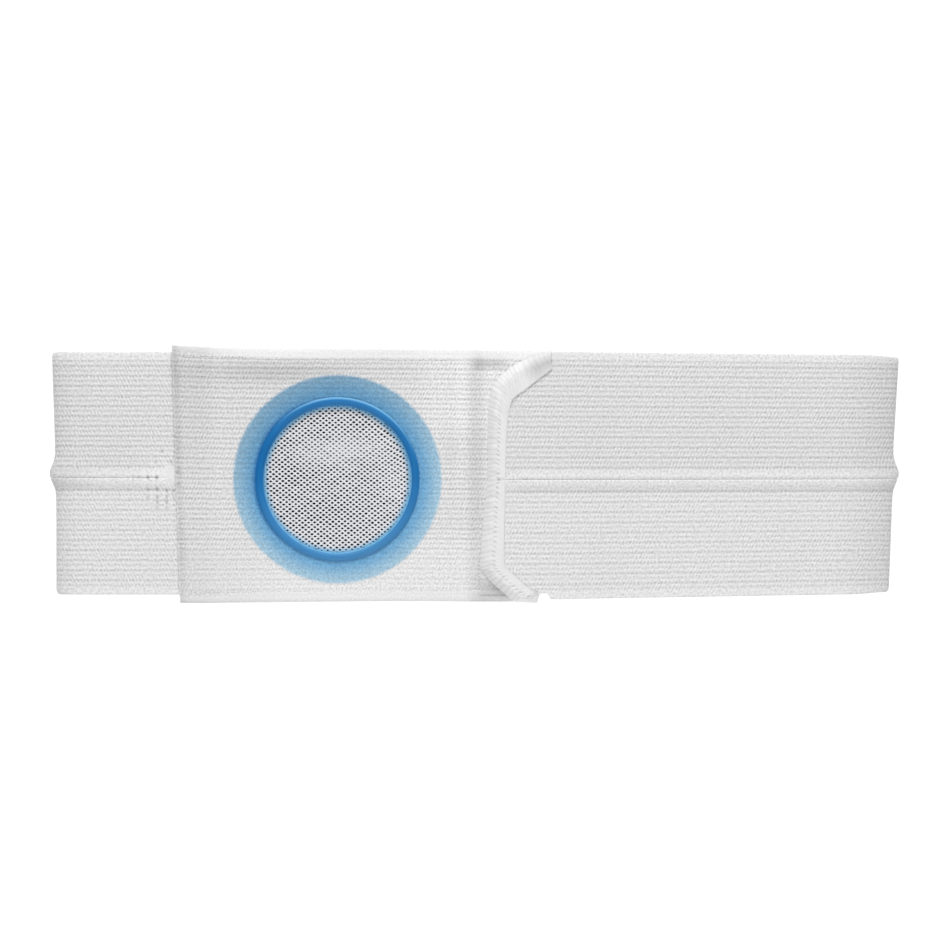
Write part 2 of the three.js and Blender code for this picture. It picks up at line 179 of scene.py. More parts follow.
# The lines of the panel's mesh beside its left edge and in its hems, and the hems' shape
PANEL_LEFT = PANEL_SECTIONS[0].x - PANEL_SECTIONS[0].lean
STRAIGHT_SECTION = PANEL_SECTIONS[4]
PANEL_LIP = np.array([0.0, 0.12, 0.4, 0.8, 1.2, 1.6, 2.0, 2.5, 3.0, 3.5, 4.0, 4.6, 5.2, 6.0, 7.0, 8.5])
PANEL_BODY_START, PANEL_STEP = 10.5, 2.35
HEM_LINES = np.array([0.0, 0.1, 0.35, 0.8, 1.4, 2.1, 2.8, 3.5, 4.1, 4.5, 4.9, 5.3])
HEM_END = 5.7
HEM_RISE, HEM_TAPER, LOWER_HEM_Y = 0.25, 2.6, -76.4

# The valley behind the panel's lip, the stitches in it, and the panel's step over the ring's flange
VALLEY_AT, VALLEY_SPAN, VALLEY_DEPTH = 2.0, 2.4, 0.3
TICK_STEP = 2.6
FLANGE_STEP, FLANGE_STEP_RADII = 0.28, (67.4, 65.2)
RING_CLEARANCE = 0.03

# Soft patches: the middle of each one, how far it reaches and how deep it is
Patch = namedtuple("Patch", "x y span_x span_y depth")
PANEL_DIPS = [
    Patch(-128.0, 72.0, 52.0, 9.0, -2.0),
    Patch(-100.0, -90.0, 62.0, 17.0, -1.6),
    Patch(-9.0, 66.0, 9.0, 22.0, -0.6),
    Patch(11.0, 69.0, 11.0, 4.5, 1.1),
    Patch(13.0, -73.0, 11.0, 6.0, 1.1),
]
# Painted shade under the top hem and beside the tab, and in two slits where the bar tack pulls at the left
# edge
PANEL_SHADE_PATCHES = [
    Patch(-122.0, 63.5, 46.0, 7.0, 0.3),
    Patch(-10.0, 12.0, 9.0, 16.0, 0.12),
    Patch(-187.0, 1.3, 1.7, 0.75, 1.0),
    Patch(-187.2, -6.3, 1.9, 0.8, 1.0),
]
# A painted shadow in the panel's corner under the tab's lower end
TAB_CORNER_SHADOW = Patch(13.0, -74.0, 9.5, 7.5, 0.72)
TAB_CORNER_SHADOW_POWER = 4
# Places where the net's holes are wider or, below zero, narrower
NET_PATCHES = [
    Patch(-50.0, -7.0, 9.0, 14.0, -0.15),
    Patch(-114.0, 4.0, 14.0, 12.0, 0.14),
    Patch(-95.0, -24.0, 20.0, 9.0, 0.1),
]
NET_FOLD = Patch(-84.7, 15.0, 34.0, 8.0, -0.24)
NET_FOLD_SLANT = 0.12

# The net is turned by this much, in radians, and pulled down beside the ring's upper right.
NET_TURN = 0.034
NET_PULL = Patch(36.0, 22.0, 18.0, 20.0, 1.7)
NET_WELD_REACH = 9.0

# Heights of the net: in its middle, at its weld and across its dish, and the rises of the yarn's loops,
# which are the rim's top and bottom, the sides' top and bottom, and the hole's edge
NET_Z, NET_RISE, NET_RISE_START, NET_DISH = 10.45, 1.3, 43.0, 0.25
NET_RISES = [0.30, -0.22, 0.24, -0.16, 0.04]

# The net's cells: how far they overlap the ring, their half holes, and where the yarn is thick
NET_OVERLAP, NET_SIDE_STEPS, NET_SIDE_SHARE = 0.9, 3, 0.38
NET_HOLE_X, NET_HOLE_Y = 0.86, 0.62
NET_OPENNESS = (0.12, 1.14)
NET_RIM_CLOSURE, NET_RIM_RADII = 0.5, (43.6, 46.2)
# Corners of neighbouring cells that agree to within this are one point.
NET_MATCH = 0.001

# The sheet of painted shadow behind the net, and its patch of painted light, whose scale is one over its
# reach
SHADOW_SHEET_LINES, SHADOW_SHEET_LEVEL, SHADOW_SHEET_THICKNESS = 41, 0.55, 0.2
PAINTED_LIGHT_PATCH_CENTRE = ((-84.7 + SHIFT[0]) * MM, (13.9 + SHIFT[1]) * MM, 0.0)
PAINTED_LIGHT_PATCH_SCALE = (28.0, 95.0, 0.0)

# Zones of painted shade or, below zero, of painted light, and zones of plain knit: how strong each one is,
# and the ramps that bound it
Ramp = namedtuple("Ramp", "axis start full")
Zone = namedtuple("Zone", "shade ramps")
# The panel carries painted shade beside the tab, in the pocket over the tab's corner, at its left and at its
# bottom, and painted light along its top hem.
PANEL_ZONES = [
    Zone(0.36, [Ramp("x", -6.5, 0.0), Ramp("x", 9.0, 2.5)]),
    Zone(0.58, [Ramp("x", -3.0, 2.0), Ramp("x", 26.0, 14.0), Ramp("y", 73.4, 69.6), Ramp("y", 64.9, 66.5)]),
    Zone(-0.24, [Ramp("x", -40.0, -5.0), Ramp("y", 73.6, 74.6)]),
    Zone(0.1, [Ramp("x", -160.0, -172.0)]),
    Zone(0.12, [Ramp("x", -160.0, -172.0), Ramp("y", -20.0, 75.0)]),
    Zone(0.1, [Ramp("x", -20.0, -60.0), Ramp("y", -30.0, 60.0)]),
    Zone(0.07, [Ramp("y", -35.0, -65.0)]),
]
# A strip of painted light on the panel beside the tab
PAINTED_LIGHT_STRIP_X, PAINTED_LIGHT_STRIP_SPAN = -8.5, 4.0
PAINTED_LIGHT_STRIP = Zone(-0.16, [Ramp("y", -12.0, 6.0)])
# Outside the zones of painted light the panel carries this much painted shade.
PANEL_BASE_SHADE = 0.16
PAINTED_LIGHT_ZONES = [
    Zone(1.0, [Ramp("x", -40.0, -22.0), Ramp("y", 20.0, 36.0)]),
    Zone(1.0, [Ramp("x", -160.0, -110.0), Ramp("y", -26.0, -52.0)]),
    Zone(1.0, [Ramp("y", 70.5, 74.0)]),
]
# The webs carry painted shade beside both folds, and their cloth is plain along its edges and where it is
# sewn.
WEB_ZONES = [
    Zone(0.26, [Ramp("from_right", 40.0, 0.0)]),
    Zone(0.1, [Ramp("from_left", 24.0, 0.0)]),
    Zone(0.22, [Ramp("from_left", 34.0, 12.0), Ramp("station", 7.0, 5.0)]),
]
# Where a web's painted shade lies over its body and down the far slope of the seam's ridge, and the reach of
# the painted shade in the line below the ridge
WEB_BODY = Zone(1.0, [Ramp("station", 2.6, 6.0), Ramp("to_edge", 2.0, 7.0)])
SEAM_SLOPE = Zone(1.0, [Ramp("station", 0.0, 6.0), Ramp("station", 9.0, 6.8)])
SEAM_LINE_SPAN = 2.2
SELVAGES = [Zone(0.88, [Ramp("station", 6.4, 5.0)]), Zone(1.0, [Ramp("to_edge", 5.4, 4.2)])]
SEWN = Zone(1.0, [Ramp("x", -219.0, -208.0), Ramp("station", 6.0, 3.5)])
# Painted light on the bare stub beside the tack
TACK_LIGHT = Zone(-0.14, [Ramp("x", -222.0, -200.0)])
TACK_LIGHT_Y, TACK_LIGHT_SPAN = 3.0, 14.0

# The overlocked edge of the tab, from its top end to its bottom end, and its section
Bound = namedtuple("Bound", "outer_x outer_y inner_x inner_y")
BINDING_LINE = [
    Bound(48.0, 78.0, 48.9, 66.0),
    Bound(33.8, 73.1, 38.6, 58.1),
    Bound(27.0, 70.0, 30.1, 51.6),
    Bound(19.6, 64.7, 26.2, 48.9),
    Bound(14.9, 60.7, 23.7, 46.4),
    Bound(10.7, 53.1, 22.2, 41.0),
    Bound(8.8, 42.3, 21.0, 34.6),
    Bound(8.7, 21.5, 19.9, 18.3),
    Bound(8.5, -3.8, 19.6, -3.8),
    Bound(5.7, -29.1, 19.1, -29.1),
    Bound(3.8, -49.9, 18.8, -49.9),
    Bound(3.7, -59.4, 19.3, -58.1),
    Bound(10.1, -67.6, 23.1, -61.6),
    Bound(23.8, -79.6, 35.4, -72.7),
    Bound(27.2, -80.6, 37.9, -73.6),
    Bound(39.8, -80.9, 40.1, -73.8),
]
BINDING_SLOT_HALF = 1.2
BINDING_WALL = 4.3
BINDING_LOWER_SHARE = 0.55
WEB_INSET_IN_BINDING = 4.9
NEEDLE_SHARE = 0.56
BINDING_ROUND, BINDING_CROWN, BINDING_CURL_POWER = 6.0, 1.5, 1.7
BINDING_FOOT_GAP, BINDING_OVERLAP = 0.3, 0.1
BINDING_SHARES = np.concatenate([[0.0, 0.006, 0.02, 0.045], np.linspace(0.08, 0.92, 29), [0.955, 0.985, 1.0]])
BINDING_LOWER_SHARES = np.linspace(BINDING_LOWER_SHARE, 0.03, 9)

# How the wraps lean on both sides of the needle line, and the spans of its dents and of the seam's slit
OUTER_LEAN, INNER_LEAN, INNER_PHASE = 0.25, -0.35, 1.3
DENT_SPAN, SLIT_SPAN = 0.9, 0.6
Trim = namedtuple("Trim", "outer inward width along foot wrap upper_leg lower_leg")

# Stitches along the panel's hems, and the share of each one's pitch that shows
HEM_STITCHES = np.arange(-182.0, -12.0, 3.2)
TAB_STITCH = 2.5
STITCH_SHARE = 0.74
# A stitch's places along it, its girth there and the quads that close its ends
CAPSULE_SHARES = np.array([0.0, 0.12, 0.5, 0.88, 1.0])
CAPSULE_GIRTH = np.array([0.35, 0.9, 1.0, 0.9, 0.35])
CAPSULE_SIDES = 8
CAPSULE_ENDS = np.array([(3, 2, 1, 0), (7, 4, 3, 0), (7, 6, 5, 4)])

# The bar tack: its middle, its half sizes, its rise and the distance between its threads
Tack = namedtuple("Tack", "x y half_x half_y crown thread")
TACK = Tack(-194.3, -1.0, 5.6, 7.0, 0.62, 0.7)

# Small pits that the tack's needle leaves in the webs, beside the panel's left edge
Pit = namedtuple("Pit", "x y depth")
NEEDLE_PITS = [
    Pit(-211.7, -2.0, 0.4), Pit(-206.0, -2.0, 0.8), Pit(-200.3, -2.2, 0.9), Pit(-200.9, 7.4, 0.4),
    Pit(-206.0, -9.6, 0.6), Pit(-200.3, -9.6, 0.9), Pit(-194.0, -10.6, 0.8), Pit(-189.8, -10.6, 0.6),
    Pit(-206.0, -14.8, 0.45), Pit(-200.0, -14.6, 0.7), Pit(-194.2, -14.6, 0.6), Pit(-189.6, -14.6, 0.5),
    Pit(-200.0, -18.0, 0.6), Pit(-194.2, -18.0, 0.6), Pit(-200.0, -21.4, 0.4), Pit(-194.2, -21.4, 0.4),
    Pit(-197.0, 14.6, 0.45), Pit(-191.5, 7.6, 0.5),
]
PIT_HALF_X, PIT_HALF_Y = 0.8, 1.15
# How much painted shade a pit carries for its depth, and how far that share sinks the web's top
PIT_SHADE, PIT_SINK = 0.9, 0.6
TACK_GAP = 0.9
TACK_COLUMNS = np.concatenate([np.linspace(STUB_END_X, -187.0, 9)[:-1], np.arange(-187.0, -214.0, -0.4)])

# A row of needle marks in the panel, beside the tab's lower corner, painted as shade in the recesses
MARK_X, MARK_STEP, MARK_SPAN = 2.8, 2.4, 0.7
MARK_ZONE = Zone(0.8, [Ramp("y", -73.0, -70.0), Ramp("y", -50.0, -56.0)])
MARK_COLUMNS = MARK_X + np.array([-1.2, -0.8, -0.4, 0.0, 0.4, 0.8, 1.2])

# A groove's width as a share of a rib, and the depth of a shallow groove as a share of a deep one
GROOVE_WIDTH, SHALLOW_GROOVE = 0.24, 0.75

# How much darker the painted shade makes cloth where it is full; below zero it is painted light
PAINTED_SHADE_DEPTH = 0.38

# The stage, in metres and watts, with the camera's lens and sensor in millimetres
Lamp = namedtuple("Lamp", "name place size power")
LAMPS = [
    Lamp("key", (0.0, 1.7, 0.95), (1.5, 0.6), 31.0),
    Lamp("fill", (0.0, -1.0, 0.85), (1.3, 0.5), 7.6),
]
SKY_STRENGTH = 0.4
FLOOR_HALF = 8.0
FOCAL_LENGTH, SENSOR_WIDTH, CAMERA_DROP = 180.0, 36.0, 0.25


class BeltSizes(bpy.types.PropertyGroup):
    """Sizes of the belt's knit, net, thread and ring."""

    rib: FloatProperty(
        name="Rib", description="Distance between the knit's ribs", default=0.00316, unit="LENGTH")
    stitch: FloatProperty(
        name="Stitch", description="Length of one stitch along a rib", default=0.0022, unit="LENGTH")
    panel_stitch: FloatProperty(
        name="Panel stitch", description="Length of one stitch along a rib of the panel",
        default=0.0021, unit="LENGTH")
    groove: FloatProperty(
        name="Groove", description="Depth of every second groove between ribs",
        default=0.00011, unit="LENGTH")
    hem: FloatProperty(
        name="Hem", description="Width of the panel's hems", default=0.0068, unit="LENGTH")
    ring_opening: FloatProperty(
        name="Ring opening", description="Radius of the ring's opening", default=0.0462, unit="LENGTH")
    ring_bead: FloatProperty(
        name="Ring bead", description="Outer radius of the ring's bead", default=0.0517, unit="LENGTH")
    ring_flange: FloatProperty(
        name="Ring flange", description="Outer radius of the flange under the panel",
        default=(RING_HIGH[0] - RING_LOW[0]) / 2 * MM, unit="LENGTH")
    net_width: FloatProperty(
        name="Net cell width", description="Distance between the net's holes along the belt",
        default=0.00383, unit="LENGTH")
    net_height: FloatProperty(
        name="Net cell height", description="Distance between the net's holes across the belt",
        default=0.00297, unit="LENGTH")
    wrap: FloatProperty(
        name="Wrap", description="Distance between the wraps of the overlocked edge",
        default=0.0031, unit="LENGTH")
    thread: FloatProperty(
        name="Thread", description="Thickness of the sewing thread", default=0.00045, unit="LENGTH")
    camera_field: FloatProperty(
        name="Camera field", description="Width that the camera sees", default=0.5984, unit="LENGTH")


def colour_property(name, description, default):
    """A colour that the user may change, in linear light."""
    return FloatVectorProperty(
        name=name, description=description, default=default, subtype="COLOR", min=0.0, max=1.0)


class BeltColours(bpy.types.PropertyGroup):
    """Colours of the belt's finishes."""

    web: colour_property("Web", "Yarn of the elastic webs", (0.87, 0.868, 0.87))
    web_groove: colour_property("Web groove", "Shade in the webs' grooves", (0.40, 0.40, 0.40))
    panel: colour_property("Panel", "Yarn of the front panel", (0.905, 0.902, 0.909))
    panel_groove: colour_property("Panel groove", "Shade in the panel's grooves", (0.42, 0.42, 0.425))
    flange_inner: colour_property(
        "Flange, inside", "Flange through the panel, beside the bead", (0.145, 0.39, 0.641))
    flange_outer: colour_property(
        "Flange, outside", "Flange through the panel, at its rim", (0.405, 0.597, 0.721))
    # Painted shade: the flange's blue is darkened by this in the panel's grooves
    flange_groove_shade: colour_property(
        "Flange groove", "Tint of the flange's colour in the panel's grooves", (0.7, 0.81, 0.89))
    ring: colour_property("Ring", "Moulded plastic of the ring", (0.002, 0.152, 0.435))
    # Painted light and a painted highlight on the ring's thin inner edge, lower side and crest
    ring_painted_light: colour_property("Ring, pale", "Thin edges of the ring", (0.2, 0.55, 0.85))
    net: colour_property("Net", "Yarn of the mesh window", (0.895, 0.895, 0.925))
    net_weld: colour_property("Net rim", "Net where it is welded to the ring", (0.2, 0.43, 0.64))
    # Painted shadow: the sheet behind the mesh window stands in for the shade inside the loop, with painted
    # light in one patch
    painted_shadow: colour_property("Backing", "Dark cloth behind the mesh window", (0.03, 0.03, 0.035))
    painted_shadow_light: colour_property("Backing, pale", "Paler patch of the backing", (0.16, 0.16, 0.17))
    thread: colour_property("Thread", "Thread of the overlocked edge and the stitches", (0.92, 0.92, 0.92))
    hook: colour_property("Hook strip", "Hook fastener under the tab", (0.72, 0.72, 0.73))
    floor: colour_property("Floor", "Pale studio floor", (0.30, 0.30, 0.30))


def smoothstep(low, high, value):
    """0 below low, 1 above high, and a soft ramp between them."""
    share = np.clip((np.asarray(value, float) - low) / (high - low), 0.0, 1.0)
    return share * share * (3.0 - 2.0 * share)


def soft_patch(patch, x, y, power=2):
    """A patch's depth at places, fading away from its middle."""
    away = np.abs((x - patch.x) / patch.span_x) ** power + np.abs((y - patch.y) / patch.span_y) ** power
    return patch.depth * np.exp(-away)


def zone_shade(zone, places):
    """A zone's strength at places, which hold a value for each axis, fading along the zone's ramps."""
    shade = zone.shade
    for ramp in zone.ramps:
        shade = shade * smoothstep(ramp.start, ramp.full, places[ramp.axis])
    return shade


def read_table(rows, key, column, at):
    """A column of a table along the straight lines between its rows."""
    keys = [getattr(row, key) for row in rows]
    values = [getattr(row, column) for row in rows]
    if keys[0] > keys[-1]:
        keys, values = keys[::-1], values[::-1]
    return np.interp(at, keys, values)


def read_smooth(keys, values, at):
    """Values at places along a smooth curve through a rising list of keys, level at both ends."""
    keys, values, at = (np.asarray(part, float) for part in (keys, values, at))
    slopes = np.zeros(len(keys))
    slopes[1:-1] = (values[2:] - values[:-2]) / (keys[2:] - keys[:-2])
    low = np.clip(np.searchsorted(keys, at, side="right") - 1, 0, len(keys) - 2)
    span = keys[low + 1] - keys[low]
    share = np.clip((at - keys[low]) / span, 0.0, 1.0)
    square, cube = share ** 2, share ** 3
    return (
        (2 * cube - 3 * square + 1) * values[low]
        + (cube - 2 * square + share) * span * slopes[low]
        + (3 * square - 2 * cube) * values[low + 1]
        + (cube - square) * span * slopes[low + 1]
    )


def rib_relief(across, rib, groove):
    """How deep the knit lies at a distance across the ribs, with every second groove a little deeper."""
    pair = across / (2 * rib)
    to_deep = np.abs(pair - np.round(pair)) * 2 * rib
    to_shallow = np.abs(pair + 0.5 - np.round(pair + 0.5)) * 2 * rib
    width = GROOVE_WIDTH * rib
    return groove * (np.exp(-(to_deep / width) ** 2) + SHALLOW_GROOVE * np.exp(-(to_shallow / width) ** 2))


def slab(outer, inner, kept=None):
    """Points and faces of a closed sheet between two grids of points; kept marks the cells that stay."""
    rows, columns = outer.shape[:2]
    number = np.arange(rows * columns).reshape(rows, columns)
    cells = np.stack([number[:-1, :-1], number[:-1, 1:], number[1:, 1:], number[1:, :-1]], -1)
    cells = cells.reshape(-1, 4) if kept is None else cells[kept]
    below = rows * columns
    edges = np.concatenate([cells[:, [side, (side + 1) % 4]] for side in range(4)])
    rim = edges[~np.isin(edges[:, 0] * below + edges[:, 1], edges[:, 1] * below + edges[:, 0])]
    walls = np.stack([rim[:, 1], rim[:, 0], rim[:, 0] + below, rim[:, 1] + below], -1)
    points = np.concatenate([outer.reshape(-1, 3), inner.reshape(-1, 3)])
    return points, np.concatenate([cells, cells[:, ::-1] + below, walls])


def both_faces(*grids):
    """Grids of values as columns, listed once for a sheet's outer face and once for its inner face."""
    columns = np.stack([np.ravel(grid) for grid in grids], -1)
    return np.concatenate([columns, columns])


def sheet_masks(grids):
    """Named grids of values as the masks of a sheet's two faces."""
    return {name: both_faces(values)[:, 0] for name, values in grids.items()}


def volume(points, faces):
    """Signed volume inside quads, which is below zero where they are inside out."""
    a, b, c, d = (points[faces[:, corner]] for corner in range(4))
    return (np.einsum("ij,ij->i", a, np.cross(b, c)) + np.einsum("ij,ij->i", a, np.cross(c, d))).sum() / 6


def new_piece(name, points, faces, weave=None, masks=None, crisp=False):
    """A mesh object from points in millimetres and quads, with weave coordinates and a material's masks."""
    faces = np.asarray(faces)
    if volume(points, faces) < 0:
        faces = faces[:, ::-1]
    used, faces = np.unique(faces, return_inverse=True)
    faces = faces.reshape(-1, 4)
    mesh = bpy.data.meshes.new(name)
    mesh.from_pydata(((points[used] + SHIFT) * MM).tolist(), [], faces.tolist())
    mesh.shade_smooth()
    if crisp:
        mesh.set_sharp_from_angle(angle=SHARP_ANGLE)
    if weave is not None:
        corners = np.empty(len(mesh.loops), np.int32)
        mesh.loops.foreach_get("vertex_index", corners)
        layer = mesh.uv_layers.new(name="weave")
        layer.data.foreach_set("uv", (weave[used][corners] * MM).astype(np.float32).ravel())
    for mask, values in (masks or {}).items():
        attribute = mesh.attributes.new(mask, "FLOAT", "POINT")
        attribute.data.foreach_set("value", values[used].astype(np.float32))
    mesh.validate()
    piece = bpy.data.objects.new(name, mesh)
    bpy.context.scene.collection.objects.link(piece)
    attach(piece, "root")
    return piece


def dress(piece, material):
    """Gives a piece its material."""
    piece.data.materials.clear()
    piece.data.materials.append(material)


class NodeBench:
    """Adds nodes to one tree and wires them, so that a material reads as a short list of steps."""

    def __init__(self, tree):
        self.tree = tree
        self.tree.nodes.clear()

    def feed(self, socket, value):
        """Links a socket's value in, or sets it."""
        if isinstance(value, bpy.types.NodeSocket):
            self.tree.links.new(value, socket)
        else:
            socket.default_value = value

    def add(self, kind, inputs=None, **settings):
        """A new node with its settings made and its inputs fed."""
        node = self.tree.nodes.new(kind)
        for setting, value in settings.items():
            setattr(node, setting, value)
        for socket, value in (inputs or {}).items():
            self.feed(node.inputs[socket], value)
        return node

    def math(self, operation, *values):
        """The result of a sum on numbers."""
        return self.add("ShaderNodeMath", dict(enumerate(values)), operation=operation).outputs[0]

    def vector(self, operation, *values):
        """The outputs of a sum on vectors."""
        return self.add("ShaderNodeVectorMath", dict(enumerate(values)), operation=operation).outputs

    def ramp(self, value, low, high, start=0.0, end=1.0):
        """A soft ramp from start, where the value is low, to end, where it is high."""
        inputs = {"Value": value, "From Min": low, "From Max": high, "To Min": start, "To Max": end}
        return self.add("ShaderNodeMapRange", inputs, interpolation_type="SMOOTHSTEP").outputs[0]

    def blend(self, factor, a, b, blend_type="MIX"):
        """Two colours mixed by a factor."""
        inputs = {0: factor, 6: a, 7: b}
        return self.add("ShaderNodeMix", inputs, data_type="RGBA", blend_type=blend_type).outputs[2]

    def tint(self, colour, level):
        """A colour made lighter or darker."""
        return self.add("ShaderNodeVectorMath", {0: colour, "Scale": level}, operation="SCALE").outputs[0]

    def noise(self, vector, scale, detail=2.0):
        """Soft random values from 0 to 1."""
        return self.add("ShaderNodeTexNoise", {"Vector": vector, "Scale": scale, "Detail": detail}).outputs[0]

    def group(self, tree, **inputs):
        """A node group with its inputs fed."""
        node = self.add("ShaderNodeGroup", node_tree=tree)
        for name, value in inputs.items():
            self.feed(node.inputs[name], value)
        return node

    def bump(self, height, distance):
        """A normal from a height, which reaches over a distance."""
        return self.add("ShaderNodeBump", {"Height": height, "Distance": distance}).outputs[0]

    def weave(self):
        """Places along and across the cloth."""
        uv = self.add("ShaderNodeUVMap", uv_map="weave").outputs[0]
        place = self.add("ShaderNodeSeparateXYZ", {0: uv})
        return place.outputs[0], place.outputs[1]

    def mask(self, name):
        """One of the mesh's masks."""
        return self.add("ShaderNodeAttribute", attribute_name=name).outputs["Fac"]

    def position(self):
        """The shaded place."""
        return self.add("ShaderNodeTexCoord").outputs["Object"]

    def from_ring(self):
        """The level vector from the ring's middle to the shaded place."""
        flat_place = self.vector("MULTIPLY", self.position(), (1.0, 1.0, 0.0))[0]
        return self.vector("SUBTRACT", flat_place, RING_CENTRE)[0]

    def surface(self, inputs):
        """Ends the tree with one shader."""
        shader = self.add("ShaderNodeBsdfPrincipled", inputs)
        self.add("ShaderNodeOutputMaterial", {"Surface": shader.outputs[0]})


def rgba(colour, level=1.0):
    """A colour with its alpha, made lighter or darker by a level."""
    return (*(level * part for part in colour), 1.0)


def new_group(name, inputs, outputs):
    """An empty shader node group with float sockets, its bench, its inputs and its output node."""
    tree = bpy.data.node_groups.new(name, "ShaderNodeTree")
    bench = NodeBench(tree)
    for socket in inputs:
        tree.interface.new_socket(socket, in_out="INPUT", socket_type="NodeSocketFloat")
    for socket in outputs:
        tree.interface.new_socket(socket, in_out="OUTPUT", socket_type="NodeSocketFloat")
    source = tree.nodes.new("NodeGroupInput").outputs
    return tree, bench, source, tree.nodes.new("NodeGroupOutput").inputs


def ribbed_knit_group():
    """Rows of knit with a zigzag of stitches: Height for a bump, and Shade from yarn to deep gaps, which is
    painted shade along the grooves and between the stitches, with brighter picks and random grain.
    """
    name = "ribbed_knit"
    if name in bpy.data.node_groups:
        return bpy.data.node_groups[name]
    sockets = ["Along", "Across", "Rib", "Stitch", "Slant", "Plain", "Grain"]
    tree, bench, source, target = new_group(name, sockets, ["Height", "Shade"])
    place = bench.add("ShaderNodeCombineXYZ", {0: source["Along"], 1: source["Across"]}).outputs[0]
    loose = bench.math("SUBTRACT", bench.noise(place, 160.0), 0.5)
    course = bench.math("MULTIPLY_ADD", loose, 0.25, bench.math("DIVIDE", source["Across"], source["Rib"]))
    lean = bench.math("MULTIPLY", course, source["Slant"])
    step = bench.math("ADD", bench.math("DIVIDE", source["Along"], source["Stitch"]), lean)
    phase = bench.math("MULTIPLY_ADD", bench.noise(place, 300.0), 0.8, step)
    swing = bench.math("COSINE", bench.math("MULTIPLY", phase, TAU))
    row = bench.math("MULTIPLY_ADD", swing, 0.07, course)
    band = bench.ramp(bench.math("COSINE", bench.math("MULTIPLY", row, TAU)), -1.0, 1.0)
    deep = bench.ramp(bench.math("COSINE", bench.math("MULTIPLY", row, TAU / 2)), -1.0, 1.0, 0.8, 1.2)
    dot = bench.ramp(swing, -0.2, 0.9)
    lively = bench.ramp(bench.noise(place, 75.0), 0.35, 0.65, 0.2, 1.35)
    dotted = bench.math("MULTIPLY", bench.math("SUBTRACT", dot, 0.4), lively)
    kept = bench.math("MULTIPLY_ADD", source["Plain"], -0.85, 1.0)
    speckle = bench.math("SUBTRACT", bench.noise(place, 700.0), 0.5)
    depth = bench.math("MULTIPLY_ADD", dotted, 0.08, bench.math("MULTIPLY", deep, 0.3))
    pick = bench.ramp(swing, 0.1, -1.0, 0.07, -0.15)
    hatch = bench.math("MULTIPLY", pick, lively)
    dark = bench.math("MULTIPLY", bench.math("MULTIPLY_ADD", depth, band, hatch), kept)
    dark = bench.math("MULTIPLY_ADD", speckle, source["Grain"], dark)
    bench.feed(target["Shade"], bench.math("SUBTRACT", 0.85, dark))
    sunk = bench.math("MULTIPLY", band, bench.math("MULTIPLY_ADD", dot, 0.2, 0.7))
    height = bench.math("MULTIPLY", bench.math("SUBTRACT", 1.0, sunk), kept)
    bench.feed(target["Height"], bench.math("MULTIPLY_ADD", speckle, 0.8, height))
    return tree


def twisted_thread_group():
    """Twisted plies of thread: Height for a bump and Shade between the plies."""
    name = "twisted_thread"
    if name in bpy.data.node_groups:
        return bpy.data.node_groups[name]
    tree, bench, source, target = new_group(name, ["Along", "Across", "Ply"], ["Height", "Shade"])
    twist = bench.math("MULTIPLY_ADD", source["Across"], 0.6, source["Along"])
    ply = bench.math("PINGPONG", bench.math("DIVIDE", twist, source["Ply"]), 0.5)
    raised = bench.ramp(ply, 0.0, 0.5)
    place = bench.add("ShaderNodeCombineXYZ", {0: source["Along"], 1: source["Across"]}).outputs[0]
    fuzz = bench.noise(place, 1200.0, 3.0)
    bench.feed(target["Height"], bench.math("MULTIPLY_ADD", fuzz, 0.4, raised))
    shade = bench.math("MULTIPLY_ADD", raised, 0.4, 0.6)
    bench.feed(target["Shade"], bench.math("MULTIPLY_ADD", bench.math("SUBTRACT", fuzz, 0.5), 0.35, shade))
    return tree


def new_material(name):
    """An empty material and its bench."""
    material = bpy.data.materials.new(name)
    material.use_nodes = True
    return material, NodeBench(material.node_tree)


def web_material(sizes, colours):
    """Elastic web: ribbed knit with plainer selvages, with painted shade in its grooves, over its body,
    beside its folds and seam and in its needle pits, and painted light beside the tack.
    """
    material, bench = new_material("ribbed_elastic")
    along, across = bench.weave()
    slant = bench.math("MULTIPLY", bench.mask("slant"), 0.7)
    plain = bench.mask("plain")
    knit = bench.group(
        ribbed_knit_group(), Along=along, Across=across, Rib=sizes.rib, Stitch=sizes.stitch,
        Slant=slant, Plain=plain, Grain=bench.math("MULTIPLY_ADD", plain, 0.2, 1.3))
    # The knit's Shade is painted shade along its grooves and in its gaps, with its grain
    colour = bench.blend(knit.outputs["Shade"], rgba(colours.web_groove), rgba(colours.web))
    # Painted shade from the mask, and painted light where it is below zero
    dim = bench.math("MULTIPLY_ADD", bench.mask("hollow"), -PAINTED_SHADE_DEPTH, 1.0)
    colour = bench.tint(colour, dim)
    # Painted shade in the needle pits, from the hole mask
    colour = bench.blend(bench.mask("hole"), colour, rgba(colours.web_groove, 0.5))
    normal = bench.bump(knit.outputs["Height"], 0.00011)
    bench.surface({"Base Color": colour, "Roughness": 0.92, "Normal": normal, "Sheen Weight": 0.1})
    return material


